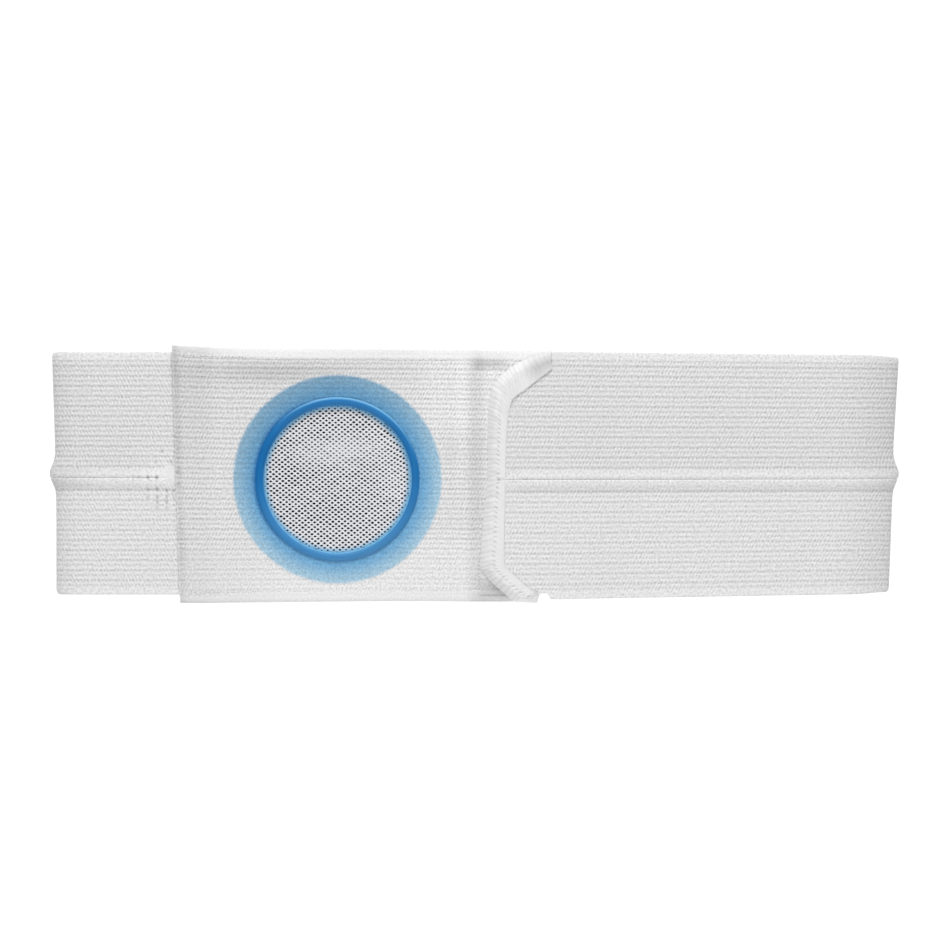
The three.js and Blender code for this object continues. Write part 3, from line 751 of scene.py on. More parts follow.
def panel_material(sizes, colours):
    """Front panel: the same knit, with painted shade in its grooves and hollows and painted light on its lip
    and hem, and the blue flange showing through it, with painted shadow over the flange's upper part and
    beside the bead's left.
    """
    material, bench = new_material("panel_knit")
    along, across = bench.weave()
    plain = bench.mask("plain")
    knit = bench.group(
        ribbed_knit_group(), Along=along, Across=across, Rib=sizes.rib, Stitch=sizes.panel_stitch,
        Slant=0.7, Plain=plain, Grain=bench.ramp(plain, 0.6, 0.9, 1.42, 0.6))
    shade = knit.outputs["Shade"]
    # Painted shade in the knit's grooves and gaps
    white = bench.blend(shade, rgba(colours.panel_groove), rgba(colours.panel))
    # Painted shade from the mask, and painted light where it is below zero
    white = bench.tint(white, bench.math("MULTIPLY_ADD", bench.mask("hollow"), -PAINTED_SHADE_DEPTH, 1.0))
    from_ring = bench.from_ring()
    away = bench.vector("LENGTH", from_ring)["Value"]
    grain = bench.noise(bench.position(), 700.0)
    ragged = bench.math("MULTIPLY_ADD", grain, 0.0022, away)
    over_flange = bench.ramp(ragged, sizes.ring_flange + 0.002, sizes.ring_flange - 0.0004)
    outward = bench.ramp(away, sizes.ring_bead, sizes.ring_flange)
    cloudy = bench.math("MULTIPLY_ADD", bench.math("SUBTRACT", grain, 0.5), 0.6, outward)
    blue = bench.blend(cloudy, rgba(colours.flange_inner), rgba(colours.flange_outer))
    # Painted shadow over the flange's upper part
    upward = bench.vector("DOT_PRODUCT", from_ring, (-0.3, 0.95, 0.0))["Value"]
    shadow = bench.ramp(upward, -0.03, 0.075, 0.0, 0.6)
    blue = bench.blend(shadow, blue, rgba(colours.flange_inner, 0.6))
    # Painted shadow of the bead on the flange at its left
    leftward = bench.vector("DOT_PRODUCT", from_ring, (-1.0, 0.25, 0.0))["Value"]
    beside_bead = bench.ramp(away, sizes.ring_bead + 0.003, sizes.ring_bead, 0.0, 0.75)
    painted_bead_shadow = bench.math("MULTIPLY", bench.ramp(leftward, 0.02, 0.05), beside_bead)
    blue = bench.blend(painted_bead_shadow, blue, rgba(colours.ring))
    mottle = bench.ramp(bench.noise(bench.position(), 850.0, 3.0), 0.3, 0.7, 0.84, 1.12)
    blue = bench.tint(blue, mottle)
    # Painted shade in the grooves over the flange
    groove_shaded_blue = bench.blend(1.0, blue, rgba(colours.flange_groove_shade), "MULTIPLY")
    blue = bench.blend(shade, groove_shaded_blue, blue)
    normal = bench.bump(knit.outputs["Height"], 0.00011)
    colour = bench.blend(over_flange, white, blue)
    bench.surface({"Base Color": colour, "Roughness": 0.92, "Normal": normal, "Sheen Weight": 0.1})
    return material


def ring_material(colours):
    """Moulded plastic: smooth, with a faint ripple and a tone that varies at random, with painted light on
    its thin inner edge and lower side and a painted highlight along its crest.
    """
    material, bench = new_material("moulded_plastic")
    place = bench.position()
    ripple = bench.noise(place, 260.0)
    gloss = bench.ramp(bench.noise(place, 90.0), 0.3, 0.7, 0.44, 0.56)
    tone = bench.ramp(bench.noise(place, 45.0), 0.3, 0.7)
    colour = bench.blend(tone, rgba(colours.ring, 0.88), rgba(colours.ring))
    # Painted light and a painted highlight, from the pale mask
    colour = bench.blend(bench.mask("pale"), colour, rgba(colours.ring_painted_light))
    bench.surface({
        "Base Color": colour, "Roughness": gloss, "Normal": bench.bump(ripple, 0.00003), "IOR": 1.34})
    return material


def net_material(sizes, colours):
    """Net yarn: fuzzy, darker between its filaments, tinted along the rim where it is welded to the ring."""
    material, bench = new_material("net_yarn")
    fuzz = bench.noise(bench.position(), 1600.0, 3.0)
    shade = bench.ramp(fuzz, 0.3, 0.7)
    yarn = bench.blend(shade, rgba(colours.net, 0.72), rgba(colours.net))
    away = bench.vector("LENGTH", bench.from_ring())["Value"]
    weld = bench.ramp(away, sizes.ring_opening - 0.0042, sizes.ring_opening - 0.0002)
    colour = bench.blend(weld, yarn, rgba(colours.net_weld))
    normal = bench.bump(fuzz, 0.00012)
    bench.surface({"Base Color": colour, "Roughness": 0.8, "Normal": normal, "Sheen Weight": 0.1})
    return material


def thread_material(colours):
    """Sewing thread of the overlocked edge, the stitches and the tack, with painted shade between its plies
    and wraps, in its dents, creases and slit, along its inner edge and round the tack.
    """
    material, bench = new_material("sewing_thread")
    along, across = bench.weave()
    twist = bench.group(twisted_thread_group(), Along=along, Across=across, Ply=0.0006)
    colour = bench.blend(twist.outputs["Shade"], rgba(colours.thread, 0.74), rgba(colours.thread))
    # Painted shade from the hole mask
    colour = bench.blend(bench.mask("hole"), colour, rgba(colours.thread, 0.38))
    normal = bench.bump(twist.outputs["Height"], 0.0001)
    bench.surface({"Base Color": colour, "Roughness": 0.75, "Normal": normal, "Sheen Weight": 0.15})
    return material


def hook_material(colours):
    """Hook fastener: rows of tiny hooks on a plain tape."""
    material, bench = new_material("hook_tape")
    cells = bench.add("ShaderNodeTexVoronoi", {"Vector": bench.position(), "Scale": 900.0})
    hooks = bench.ramp(cells.outputs["Distance"], 0.5, 0.1)
    colour = bench.blend(hooks, rgba(colours.hook, 0.75), rgba(colours.hook))
    bench.surface({"Base Color": colour, "Roughness": 0.6, "Normal": bench.bump(hooks, 0.0003)})
    return material


def floor_material(colours):
    """Pale seamless floor, mostly lit by itself so that shadows stay faint."""
    material, bench = new_material("studio_floor")
    grain = bench.ramp(bench.noise(bench.position(), 30.0), 0.3, 0.7)
    colour = bench.blend(grain, rgba(colours.floor, 0.98), rgba(colours.floor))
    bench.surface({
        "Base Color": colour, "Roughness": 0.9, "Emission Color": WHITE, "Emission Strength": 0.84})
    return material


def web_stations(width, step):
    """Places across a web, from the seam to its outer edge, closer together at its rounded edges."""
    count = round((width - 2 * WEB_BODY_START) / step)
    middle = np.linspace(WEB_BODY_START, width - WEB_BODY_START, count)
    return np.concatenate([WEB_ROUNDS, middle, (width - WEB_ROUNDS)[::-1]])


def fold_x(side, y, to_edge):
    """Where a fold lies across the belt: the stiff seam bulges out and the outer corner is a little round."""
    bulge = SEAM_BULGE_REACH * np.exp(-((y - SEAM_BULGE_Y) / SEAM_BULGE_WIDTH) ** 2)
    pull = bulge - CORNER_ROUND * np.exp(-to_edge / CORNER_ROUND_REACH)
    return read_table(FOLD_LINES, "y", side, y) + (-pull if side == "left" else pull)


def tab_end_x(y):
    """Where a web ends inside the overlocked edge."""
    outer = np.array([(row.outer_x, row.outer_y) for row in BINDING_LINE[:-1]])
    inner = np.array([(row.inner_x, row.inner_y) for row in BINDING_LINE[:-1]])
    reach = np.linalg.norm(inner - outer, axis=1, keepdims=True)
    line = outer + (inner - outer) * WEB_INSET_IN_BINDING / reach
    return np.interp(y, line[::-1, 1], line[::-1, 0])


def front_height(x, right_centre):
    """Height of the webs' middle between the right fold and the tab, with soft slow waves."""
    keys = [TAB_START_X, *(row.x for row in FRONT_RUN), right_centre]
    return read_smooth(keys, [TAB_Z, *(FRONT_Z - row.drop for row in FRONT_RUN), FRONT_Z], x)


def slow_waves(x, y):
    """Slight unevenness of cloth that lies loose."""
    long_wave = 0.28 * np.sin(TAU * x / 97.0 + 1.3) * np.cos(TAU * y / 150.0 + 0.4)
    return long_wave + sum(
        wave.height * np.sin(TAU * (x + wave.lean * y) / wave.length + wave.phase) for wave in SHORT_WAVES)


def web_edges(web):
    """A web's edge along the seam and its outer edge, at the left fold, at the right fold and at the tab."""
    return np.array(SEAM_EDGE) + web.sign * SEAM_GAP / 2, np.array(web.edge)


def web_course(web, station, width):
    """A line along the middle of a web's cloth, and how far the ridge beside the seam stands up along it."""
    seam, outer_edge = web_edges(web)
    share, to_edge = station / width, width - station
    y_left, y_right, y_tab = seam + (outer_edge - seam) * share
    left = fold_x("left", y_left, to_edge) + FOLD_REACH.left + WEB_HALF
    right = fold_x("right", y_right, to_edge) - FOLD_REACH.right - WEB_HALF
    end = tab_end_x(y_tab)
    turn = np.linspace(0.0, math.pi, WEB_COLUMNS.turn, endpoint=False)
    bare_columns = WEB_COLUMNS.stub - len(TACK_COLUMNS)
    stub_x = np.concatenate([
        TACK_COLUMNS, np.linspace(TACK_COLUMNS[-1] - TACK_GAP, left, bare_columns, endpoint=False)])
    back_x = np.linspace(left, right, WEB_COLUMNS.back, endpoint=False)
    front_x = np.linspace(right, TAB_START_X, WEB_COLUMNS.front, endpoint=False)
    nicked = NOTCH_COLUMNS if web.sign < 0 else np.empty(0)
    rest_start = nicked[0] if len(nicked) else TAB_START_X
    rest_x = np.linspace(rest_start, end, WEB_COLUMNS.tab - len(nicked) + 1)[1:]
    tab_x = np.concatenate([nicked[::-1], rest_x])
    x = np.concatenate([
        stub_x, left - FOLD_REACH.left * np.sin(turn), back_x, right + FOLD_REACH.right * np.sin(turn),
        front_x, tab_x])
    y = np.concatenate([
        np.full(WEB_COLUMNS.stub + WEB_COLUMNS.turn, y_left),
        y_left + (y_right - y_left) * (back_x - left) / (right - left),
        np.full(WEB_COLUMNS.turn, y_right),
        y_right + (y_tab - y_right) * (right - front_x) / (right - TAB_START_X),
        np.full(WEB_COLUMNS.tab, y_tab)])
    from_left, from_right = x - left + FOLD_REACH.left, right + FOLD_REACH.right - x
    pinch = smoothstep(CORNER_PINCH_REACH, 0.0, from_right) * share ** CORNER_PINCH_POWER
    y = y - web.sign * CORNER_PINCH * pinch
    crown = web.crown * (1.0 - (2.0 * share - 1.0) ** 2)
    loose = smoothstep(TAB_START_X, TAB_START_X + SWELL.tab, front_x)
    loose = loose * smoothstep(right, right - SWELL.right, front_x)
    front_z = front_height(front_x, right) + loose * (crown + slow_waves(front_x, y_right))
    bare = smoothstep(PANEL_LEFT, PANEL_LEFT - SWELL.panel, stub_x)
    bare = bare * smoothstep(left, left + SWELL.left, stub_x)
    stub_z = FRONT_Z + bare * (crown + slow_waves(stub_x, y_left) / 2)
    z = np.concatenate([
        stub_z, FOLD_Z + FOLD_RADIUS * np.cos(turn), np.full(WEB_COLUMNS.back, BACK_Z),
        FOLD_Z - FOLD_RADIUS * np.cos(turn), front_z, np.full(WEB_COLUMNS.tab, TAB_Z)])
    tab_share = (TAB_START_X - tab_x) / (TAB_START_X - end)
    ridge = np.concatenate([
        smoothstep(PANEL_LEFT, PANEL_LEFT - RIDGE_START, stub_x), 1.0 - turn / math.pi,
        np.zeros(WEB_COLUMNS.back), turn / math.pi, np.ones(WEB_COLUMNS.front),
        smoothstep(*RIDGE_END, tab_share)])
    return Course(x, y, z, ridge, from_left, from_right)


def web_masks(web, station, width, course):
    """How plain a web's cloth is along one line, its painted shade and painted light, and how pitted it is,
    with painted shade in the pits.
    """
    places = course._asdict() | {"station": station, "to_edge": width - station}
    on_top, bare = course.z > FOLD_Z, course.x < PANEL_LEFT
    selvage = max(web.calm, *(zone_shade(zone, places) for zone in SELVAGES))
    plain = np.maximum(selvage, zone_shade(SEWN, places) * bare * on_top)
    hollow = web.grey * zone_shade(WEB_BODY, places) + web.slope_shade * zone_shade(SEAM_SLOPE, places)
    hollow = hollow + web.line_shade * math.exp(-((station - web.line_at) / SEAM_LINE_SPAN) ** 2)
    hollow = hollow + sum(zone_shade(zone, places) for zone in WEB_ZONES)
    beside_tack = bare * np.exp(-((course.y - TACK_LIGHT_Y) / TACK_LIGHT_SPAN) ** 2)
    hollow = hollow + zone_shade(TACK_LIGHT, places) * beside_tack
    # The pits sink the web's top and carry painted shade in its colour
    hole = np.zeros(len(course.x))
    for pit in NEEDLE_PITS:
        away = ((course.x - pit.x) / PIT_HALF_X) ** 2 + ((course.y - pit.y) / PIT_HALF_Y) ** 2
        hole = np.maximum(hole, PIT_SHADE * pit.depth * np.exp(-away) * on_top)
    return {"plain": plain, "hollow": hollow, "hole": hole}


def seam_ridge(web, station):
    """Height of the ridge beside the seam at a distance from it: steep up to its crest, then a long fall."""
    if station < web.ridge_crest:
        fall, power = (web.ridge_crest - station) / web.ridge_crest, 1.0
    else:
        fall = min((station - web.ridge_crest) / (web.ridge_width - web.ridge_crest), 1.0)
        power = RIDGE_FALL_POWER
    return web.ridge_rise * (1.0 - fall * fall) ** power


def notch_shift(course, to_edge):
    """How far the lower web's edge is drawn in at its nick, in front and at the back."""
    nick = np.exp(-((course.x - NOTCH_X) / NOTCH_WIDTH) ** 6) * smoothstep(NOTCH_REACH, 0.0, to_edge)
    lift = np.exp(-((course.x - NOTCH_X) / BACK_LIFT_SPAN) ** 2) * smoothstep(BACK_LIFT_REACH, 0.0, to_edge)
    return np.where(course.z > FOLD_Z, NOTCH_DEPTH * nick, BACK_LIFT * lift)


def web_piece(web, sizes, material):
    """One elastic web: stub under the panel, left fold, back, right fold, front and tab."""
    seam, outer_edge = web_edges(web)
    width = abs(outer_edge[0] - seam[0])
    rib, groove = sizes.rib / MM, sizes.groove / MM
    stations = web_stations(width, 2 * rib / RIB_LINES)
    courses = [web_course(web, station, width) for station in stations]
    lines = [web_masks(web, station, width, course) for station, course in zip(stations, courses)]
    tops, bottoms = [], []
    for station, course, line in zip(stations, courses, lines):
        to_edge = width - station
        tangent_x, tangent_z = np.gradient(course.x), np.gradient(course.z)
        length = np.hypot(tangent_x, tangent_z)
        out_x, out_z = tangent_z / length, -tangent_x / length
        rounded = min(1.0, station / SEAM_ROUND, to_edge / WEB_HALF)
        edge_share = EDGE_THIN + (1.0 - EDGE_THIN) * math.sqrt(1.0 - (1.0 - rounded) ** 2)
        relief = rib_relief(station - web.ridge_width + RIB_OFFSET, rib, groove) * (1.0 - line["plain"])
        bottom = WEB_HALF * edge_share - relief
        top = bottom + seam_ridge(web, station) * course.ridge - PIT_SINK * line["hole"]
        y = course.y + notch_shift(course, to_edge) if web.sign < 0 else course.y
        tops.append(np.stack([course.x + out_x * top, y, course.z + out_z * top], -1))
        bottoms.append(np.stack([course.x - out_x * bottom, y, course.z - out_z * bottom], -1))
    points, faces = slab(np.array(tops), np.array(bottoms))
    middle = courses[len(courses) // 2]
    steps = np.hypot(np.diff(middle.x), np.diff(middle.z))
    travel = np.concatenate([[0.0], np.cumsum(steps)])
    travels, acrosses = np.meshgrid(travel, stations - web.ridge_width + RIB_OFFSET)
    masks = {name: [line[name] for line in lines] for name in lines[0]}
    masks["slant"] = web.sign * np.interp(travels, SLANT_TRAVEL, [-1.0, 1.0])
    name = web.node.replace("web", "elastic_web")
    piece = new_piece(name, points, faces, both_faces(travels, acrosses), sheet_masks(masks))
    dress(piece, material)
    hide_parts(web.node)
    return piece


def panel_height(x, y):
    """Height of the panel's underside: its sections, shallow hollows and the step over the flange."""
    base = read_smooth([row.x for row in PANEL_SECTIONS], [row.z for row in PANEL_SECTIONS], x)
    base = base - sum(soft_patch(dip, x, y) for dip in PANEL_DIPS)
    return base + FLANGE_STEP * smoothstep(*FLANGE_STEP_RADII, np.hypot(x - RING_X, y - RING_Y))


def panel_painted_shade(x, y):
    """How much painted shade the panel carries where it sinks beside the tab, under its top hem, at its left
    and in its needle marks, less where painted light lifts it.
    """
    places = {"x": x, "y": y}
    shade = sum(zone_shade(zone, places) for zone in PANEL_ZONES)
    shade = shade + sum(soft_patch(patch, x, y) for patch in PANEL_SHADE_PATCHES)
    shade = shade + soft_patch(TAB_CORNER_SHADOW, x, y, TAB_CORNER_SHADOW_POWER)
    shade = shade + zone_shade(PAINTED_LIGHT_STRIP, places) * np.exp(-((x - PAINTED_LIGHT_STRIP_X) / PAINTED_LIGHT_STRIP_SPAN) ** 2)
    shade_marks = np.clip(np.cos(TAU * y / MARK_STEP), 0.0, 1.0) * np.exp(-((x - MARK_X) / MARK_SPAN) ** 2)
    painted_light_share = np.maximum.reduce([zone_shade(zone, places) for zone in PAINTED_LIGHT_ZONES])
    return shade + zone_shade(MARK_ZONE, places) * shade_marks + PANEL_BASE_SHADE * (1.0 - painted_light_share)


def cut_ring_hole(outer, inner, radius):
    """Marks the cells that stay around the ring, and moves points beside the others onto the hole's edge."""
    middle = (outer[:-1, :-1] + outer[1:, :-1] + outer[:-1, 1:] + outer[1:, 1:]) / 4
    kept = np.hypot(middle[..., 0] - RING_X, middle[..., 1] - RING_Y) > radius
    rows, columns = kept.shape
    snapped = np.zeros(outer.shape[:2], bool)
    for row, column in ((0, 0), (0, 1), (1, 0), (1, 1)):
        snapped[row:row + rows, column:column + columns] |= ~kept
    away = outer[..., :2] - (RING_X, RING_Y)
    reach = radius / np.maximum(np.hypot(away[..., 0], away[..., 1]), 1.0)
    edge = away * reach[..., None] + (RING_X, RING_Y)
    for grid in (outer, inner):
        grid[..., :2] = np.where(snapped[..., None], edge, grid[..., :2])
    return kept


def panel_masks(x, y, to_top, to_edge, from_left, band):
    """How plain the panel is, its painted shade and painted light, and the valley behind its lip, which is
    stitched.
    """
    valley = np.exp(-((from_left - VALLEY_AT) / VALLEY_SPAN) ** 2)
    ticks = np.clip(np.cos(TAU * y / TICK_STEP + 0.8 * np.sin(y / 6.1)), 0.0, 1.0)
    ticks = ticks * smoothstep(0.2, 0.8, np.sin(y / 9.0) + 0.6)
    plain = np.maximum(
        0.92 * smoothstep(band + 0.8, band - 1.0, to_edge), 0.3 * smoothstep(2.0, 0.8, from_left))
    plain = np.maximum(plain, 0.55 * smoothstep(-35.0, -65.0, y))
    # Painted light on the lip and on the top hem's left part
    lip_light = 0.2 * smoothstep(1.4, 0.4, from_left)
    hem_light = 0.14 * smoothstep(band + 0.4, band - 1.2, to_top) * smoothstep(-175.0, -140.0, x)
    # Painted shade in the valley and its stitches and over the panel
    hollow = (0.22 + 0.4 * ticks) * valley + panel_painted_shade(x, y) - lip_light - hem_light
    # A painted shadow line along the lower hem beside the tab
    hem_shadow_line = 0.75 * np.exp(-((y - LOWER_HEM_Y) / 0.5) ** 2) * smoothstep(-1.0, 8.0, x)
    return {"plain": plain, "hollow": np.clip(hollow, -0.2, 1.0) + hem_shadow_line}, valley


def panel_piece(sizes, material):
    """The knitted front panel with its hems, the lip at its left edge and the hole for the ring."""
    rib, groove, hem = sizes.rib / MM, sizes.groove / MM, sizes.hem / MM
    first, last = PANEL_SECTIONS[0].x, PANEL_SECTIONS[-1].x
    length, height = last - first, STRAIGHT_SECTION.top - STRAIGHT_SECTION.bottom
    stations = first + np.concatenate([PANEL_LIP, np.arange(PANEL_BODY_START, length, PANEL_STEP), [length]])
    stations = np.unique(np.concatenate([stations, MARK_COLUMNS]))
    body = np.linspace(HEM_END, height - HEM_END, round((height - 2 * HEM_END) / (2 * rib / RIB_LINES)))
    lines = np.concatenate([HEM_LINES, body, (height - HEM_LINES)[::-1]])
    station, line = np.meshgrid(stations, lines)
    lean, top, bottom = (
        read_table(PANEL_SECTIONS, "x", column, station) for column in ("lean", "top", "bottom"))
    y = top + (bottom - top) * line / height
    x = station - lean * y / top
    to_edge, from_left = np.minimum(line, height - line), station - first
    band = hem - HEM_TAPER * smoothstep(-130.0, -172.0, x)
    masks, valley = panel_masks(x, y, line, to_edge, from_left, band)
    hem_shape = smoothstep(0.0, 0.9, to_edge) * smoothstep(band + 1.6, band - 1.6, to_edge)
    ribs = rib_relief(line - hem, rib, groove) * (1.0 - masks["plain"])
    round_edge = np.minimum(smoothstep(-0.5, 0.7, to_edge), smoothstep(-0.6, 2.4, from_left))
    rounding = 0.6 * PANEL_THICKNESS * (1.0 - round_edge)
    underside = panel_height(x, y)
    relief = HEM_RISE * hem_shape - VALLEY_DEPTH * valley - ribs - rounding
    outer = np.stack([x, y, underside + PANEL_THICKNESS + relief], -1)
    inner = np.stack([x, y, underside + 0.35 * rounding], -1)
    hole = sizes.ring_bead / MM + RING_CLEARANCE
    points, faces = slab(outer, inner, cut_ring_hole(outer, inner, hole))
    weave = both_faces(station, line - hem)
    piece = new_piece("front_panel", points, faces, weave, sheet_masks(masks), crisp=True)
    dress(piece, material)
    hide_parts("panel")
    return piece


def ring_profile(opening, bead, flange):
    """Radii and heights round the ring's section: a thin wide flange and a rounded bead."""
    bottom, top, bead_top = RING_LOW[2], RING_LOW[2] + FLANGE_THICKNESS, RING_HIGH[2]
    across = np.sin(np.linspace(math.pi / 2, -math.pi / 2, BEAD_POINTS))
    crown_r = (opening + bead) / 2 + (bead - opening) / 2 * across
    shoulder = np.where(across > 0, BEAD_SHOULDERS.outer, BEAD_SHOULDERS.inner)
    power = np.where(across > 0, 2.0, 2.5)
    crown_z = shoulder + (bead_top - shoulder) * (1.0 - np.abs(across) ** power)
    profile = [
        (opening + EASE, bottom), (flange - EASE, bottom), (flange, bottom + 0.25), (flange, top - EASE),
        (flange - EASE, top), (bead + 0.4, top), (bead, top + EASE), *zip(crown_r, crown_z), (opening, top),
        (opening, bottom + EASE),
    ]
    return np.array(profile).T


def ring_painted_light(angles, radius, height, opening, bead):
    """How much painted light the ring carries: along its thin inner edge and on its lower side, with a
    painted highlight along the top of its crest.
    """
    sine, cosine = np.sin(angles), np.cos(angles)
    lit = smoothstep(0.75, -0.6, sine - 0.35 * cosine)
    upper = smoothstep(0.4, 1.0, sine + 0.25 * cosine)
    thin_edge = smoothstep(opening + 1.1, opening + 0.1, radius)
    above_flange = height > RING_LOW[2] + FLANGE_THICKNESS + 0.5
    crest = 0.6 * smoothstep(bead - 1.7, bead - 0.6, radius) * above_flange
    body = 0.22 * smoothstep(0.2, -1.0, sine) + 0.03 * smoothstep(-0.4, 0.6, cosine)
    body = body + 0.05 * smoothstep(0.4, 0.9, sine)
    return np.outer(0.25 + 0.75 * lit, thin_edge) + np.outer(body, 1.0 - thin_edge) + np.outer(upper, crest)


def ring_piece(sizes, material):
    """The plastic ring: a rounded bead on a thin wide flange, turned about its axis."""
    opening, bead, flange = sizes.ring_opening / MM, sizes.ring_bead / MM, sizes.ring_flange / MM
    radius, height = ring_profile(opening, bead, flange)
    angles = np.linspace(0.0, TAU, RING_SIDES, endpoint=False)
    points = np.stack([
        RING_X + np.outer(np.cos(angles), radius), RING_Y + np.outer(np.sin(angles), radius),
        np.broadcast_to(height, (len(angles), len(height)))], -1)
    number = np.arange(points.shape[0] * points.shape[1]).reshape(points.shape[:2])
    ahead, beside = np.roll(number, -1, 0), np.roll(number, -1, 1)
    faces = np.stack([number, ahead, np.roll(ahead, -1, 1), beside], -1).reshape(-1, 4)
    # The pale mask holds the ring's painted light and painted highlight
    pale = ring_painted_light(angles, radius, height, opening, bead)
    piece = new_piece("plastic_ring", points.reshape(-1, 3), faces, masks={"pale": pale.ravel()})
    dress(piece, material)
    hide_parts("ring")
    return piece


def net_openness(x, y):
    """How wide the net's holes are, as a share: uneven, narrower in soft patches and along the rim."""
    patches = soft_patch(NET_FOLD, x, y - NET_FOLD_SLANT * (x - NET_FOLD.x))
    patches = patches + sum(soft_patch(patch, x, y) for patch in NET_PATCHES)
    uneven = 0.07 * np.sin(x * 1.9 + 2.3 * np.sin(y * 0.7)) + 0.06 * np.sin(y * 2.7 + 1.7 * np.sin(x * 0.9))
    rim = NET_RIM_CLOSURE * smoothstep(*NET_RIM_RADII, np.hypot(x - RING_X, y - RING_Y))
    return np.clip(1.0 + patches + uneven - rim, *NET_OPENNESS)


def net_drift(places, opening):
    """How far the net is drawn out of true at places from its middle: turned, and pulled down at one side."""
    x, y = places[..., 0], places[..., 1]
    pull = soft_patch(NET_PULL, x, y) * smoothstep(opening, opening - NET_WELD_REACH, np.hypot(x, y))
    return np.stack([-NET_TURN * y, NET_TURN * x - pull], -1)


def net_points(places, rise, opening):
    """Points of the net at places from its middle: drawn out of true, and rising to its weld on the ring."""
    places = places + net_drift(places, opening)
    reach = np.hypot(places[..., 0], places[..., 1])
    level = NET_Z + NET_RISE * smoothstep(NET_RISE_START, opening, reach) + NET_DISH * (reach / opening) ** 2
    return np.concatenate([places + [RING_X, RING_Y], (level + rise)[..., None]], -1).reshape(-1, 3)


def painted_shadow_material(colours):
    """Painted shadow behind the net: a dark sheet with a faint weave, and painted light in one soft patch."""
    material, bench = new_material("dark_backing")
    place = bench.position()
    weave = bench.noise(place, 1400.0, 3.0)
    shade = bench.ramp(weave, 0.3, 0.7)
    # A soft patch of painted light
    offset = bench.vector("SUBTRACT", place, PAINTED_LIGHT_PATCH_CENTRE)[0]
    scaled = bench.vector("MULTIPLY", offset, PAINTED_LIGHT_PATCH_SCALE)[0]
    away = bench.vector("LENGTH", scaled)["Value"]
    wavy = bench.math("MULTIPLY_ADD", bench.math("SUBTRACT", bench.noise(place, 60.0), 0.5), 1.2, away)
    pale = bench.ramp(wavy, 1.15, 0.35)
    dark = bench.blend(shade, rgba(colours.painted_shadow, 0.6), rgba(colours.painted_shadow))
    colour = bench.blend(pale, dark, rgba(colours.painted_shadow_light))
    bench.surface({"Base Color": colour, "Roughness": 0.95, "Normal": bench.bump(weave, 0.0001)})
    return material


def painted_shadow_piece(sizes, material):
    """A thin sheet of painted shadow behind the net, which the net's holes show."""
    radius = sizes.ring_opening / MM
    u, v = np.meshgrid(np.linspace(-1.0, 1.0, SHADOW_SHEET_LINES), np.linspace(-1.0, 1.0, SHADOW_SHEET_LINES))
    x = RING_X + radius * u * np.sqrt(1.0 - v * v / 2)
    y = RING_Y + radius * v * np.sqrt(1.0 - u * u / 2)
    level = RING_LOW[2] + SHADOW_SHEET_LEVEL + 0.1 * np.sin(x / 9.0) * np.cos(y / 7.0)
    points, faces = slab(np.stack([x, y, level], -1), np.stack([x, y, level - SHADOW_SHEET_THICKNESS], -1))
    piece = new_piece("window_backing", points, faces)
    dress(piece, material)
    return piece


def net_piece(sizes, material):
    """The mesh window: a net of diamond cells, each with an oval hole, welded inside the ring."""
    wide, high = sizes.net_width / MM / 2, sizes.net_height / MM / 2
    opening = sizes.ring_opening / MM
    count = int(opening / min(wide, high)) + 2
    first, second = np.meshgrid(np.arange(-count, count + 1), np.arange(-count, count + 1))
    centres = np.stack([(first - second) * wide, (first + second) * high], -1).reshape(-1, 2)
    centres = centres[np.hypot(*centres.T) < opening + NET_OVERLAP]
    corners = np.array([(wide, 0.0), (0.0, high), (-wide, 0.0), (0.0, -high), (wide, 0.0)])
    steps = np.arange(NET_SIDE_STEPS) / NET_SIDE_STEPS
    rim = np.concatenate([
        corners[side] + np.outer(steps, corners[side + 1] - corners[side]) for side in range(4)])
    angles = np.arctan2(rim[:, 1] / high, rim[:, 0] / wide)
    size = len(rim)
    open_share = net_openness(centres[:, 0] + RING_X, centres[:, 1] + RING_Y)[:, None, None]
    hole = np.stack([NET_HOLE_X * np.cos(angles), NET_HOLE_Y * np.sin(angles)], -1) * open_share
    rim_at = centres[:, None] + rim
    hole_at = centres[:, None] + hole
    between_at = hole_at + NET_SIDE_SHARE * (rim_at - hole_at)
    keys = np.round(rim_at.reshape(-1, 2) / NET_MATCH).astype(np.int64)
    _, rim_first, rim_number = np.unique(keys, axis=0, return_index=True, return_inverse=True)
    rim_number = rim_number.reshape(-1, size)
    rim_points = rim_at.reshape(-1, 2)[rim_first]
    loops = [rim_points, rim_points, between_at, between_at, hole_at]
    layers = [net_points(loop, rise, opening) for loop, rise in zip(loops, NET_RISES)]
    starts = np.cumsum([0] + [len(layer) for layer in layers])
    own = np.arange(len(centres) * size).reshape(-1, size)
    numbers = [rim_number, rim_number, own, own, own]
    loop_of = [number + start for number, start in zip(numbers, starts)]
    faces = []
    for near, far in ((0, 2), (2, 4), (4, 3), (3, 1)):
        a, b = loop_of[near], loop_of[far]
        faces.append(np.stack([a, np.roll(a, -1, 1), np.roll(b, -1, 1), b], -1).reshape(-1, 4))
    edges = np.stack([rim_number, np.roll(rim_number, -1, 1)], -1).reshape(-1, 2)
    total = len(rim_points)
    border = edges[~np.isin(edges[:, 0] * total + edges[:, 1], edges[:, 1] * total + edges[:, 0])]
    top, bottom = starts[0], starts[1]
    faces.append(np.stack([
        border[:, 1] + top, border[:, 0] + top, border[:, 0] + bottom, border[:, 1] + bottom], -1))
    piece = new_piece("mesh_net", np.concatenate(layers), np.concatenate(faces))
    dress(piece, material)
    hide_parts("mesh_window")
    return piece


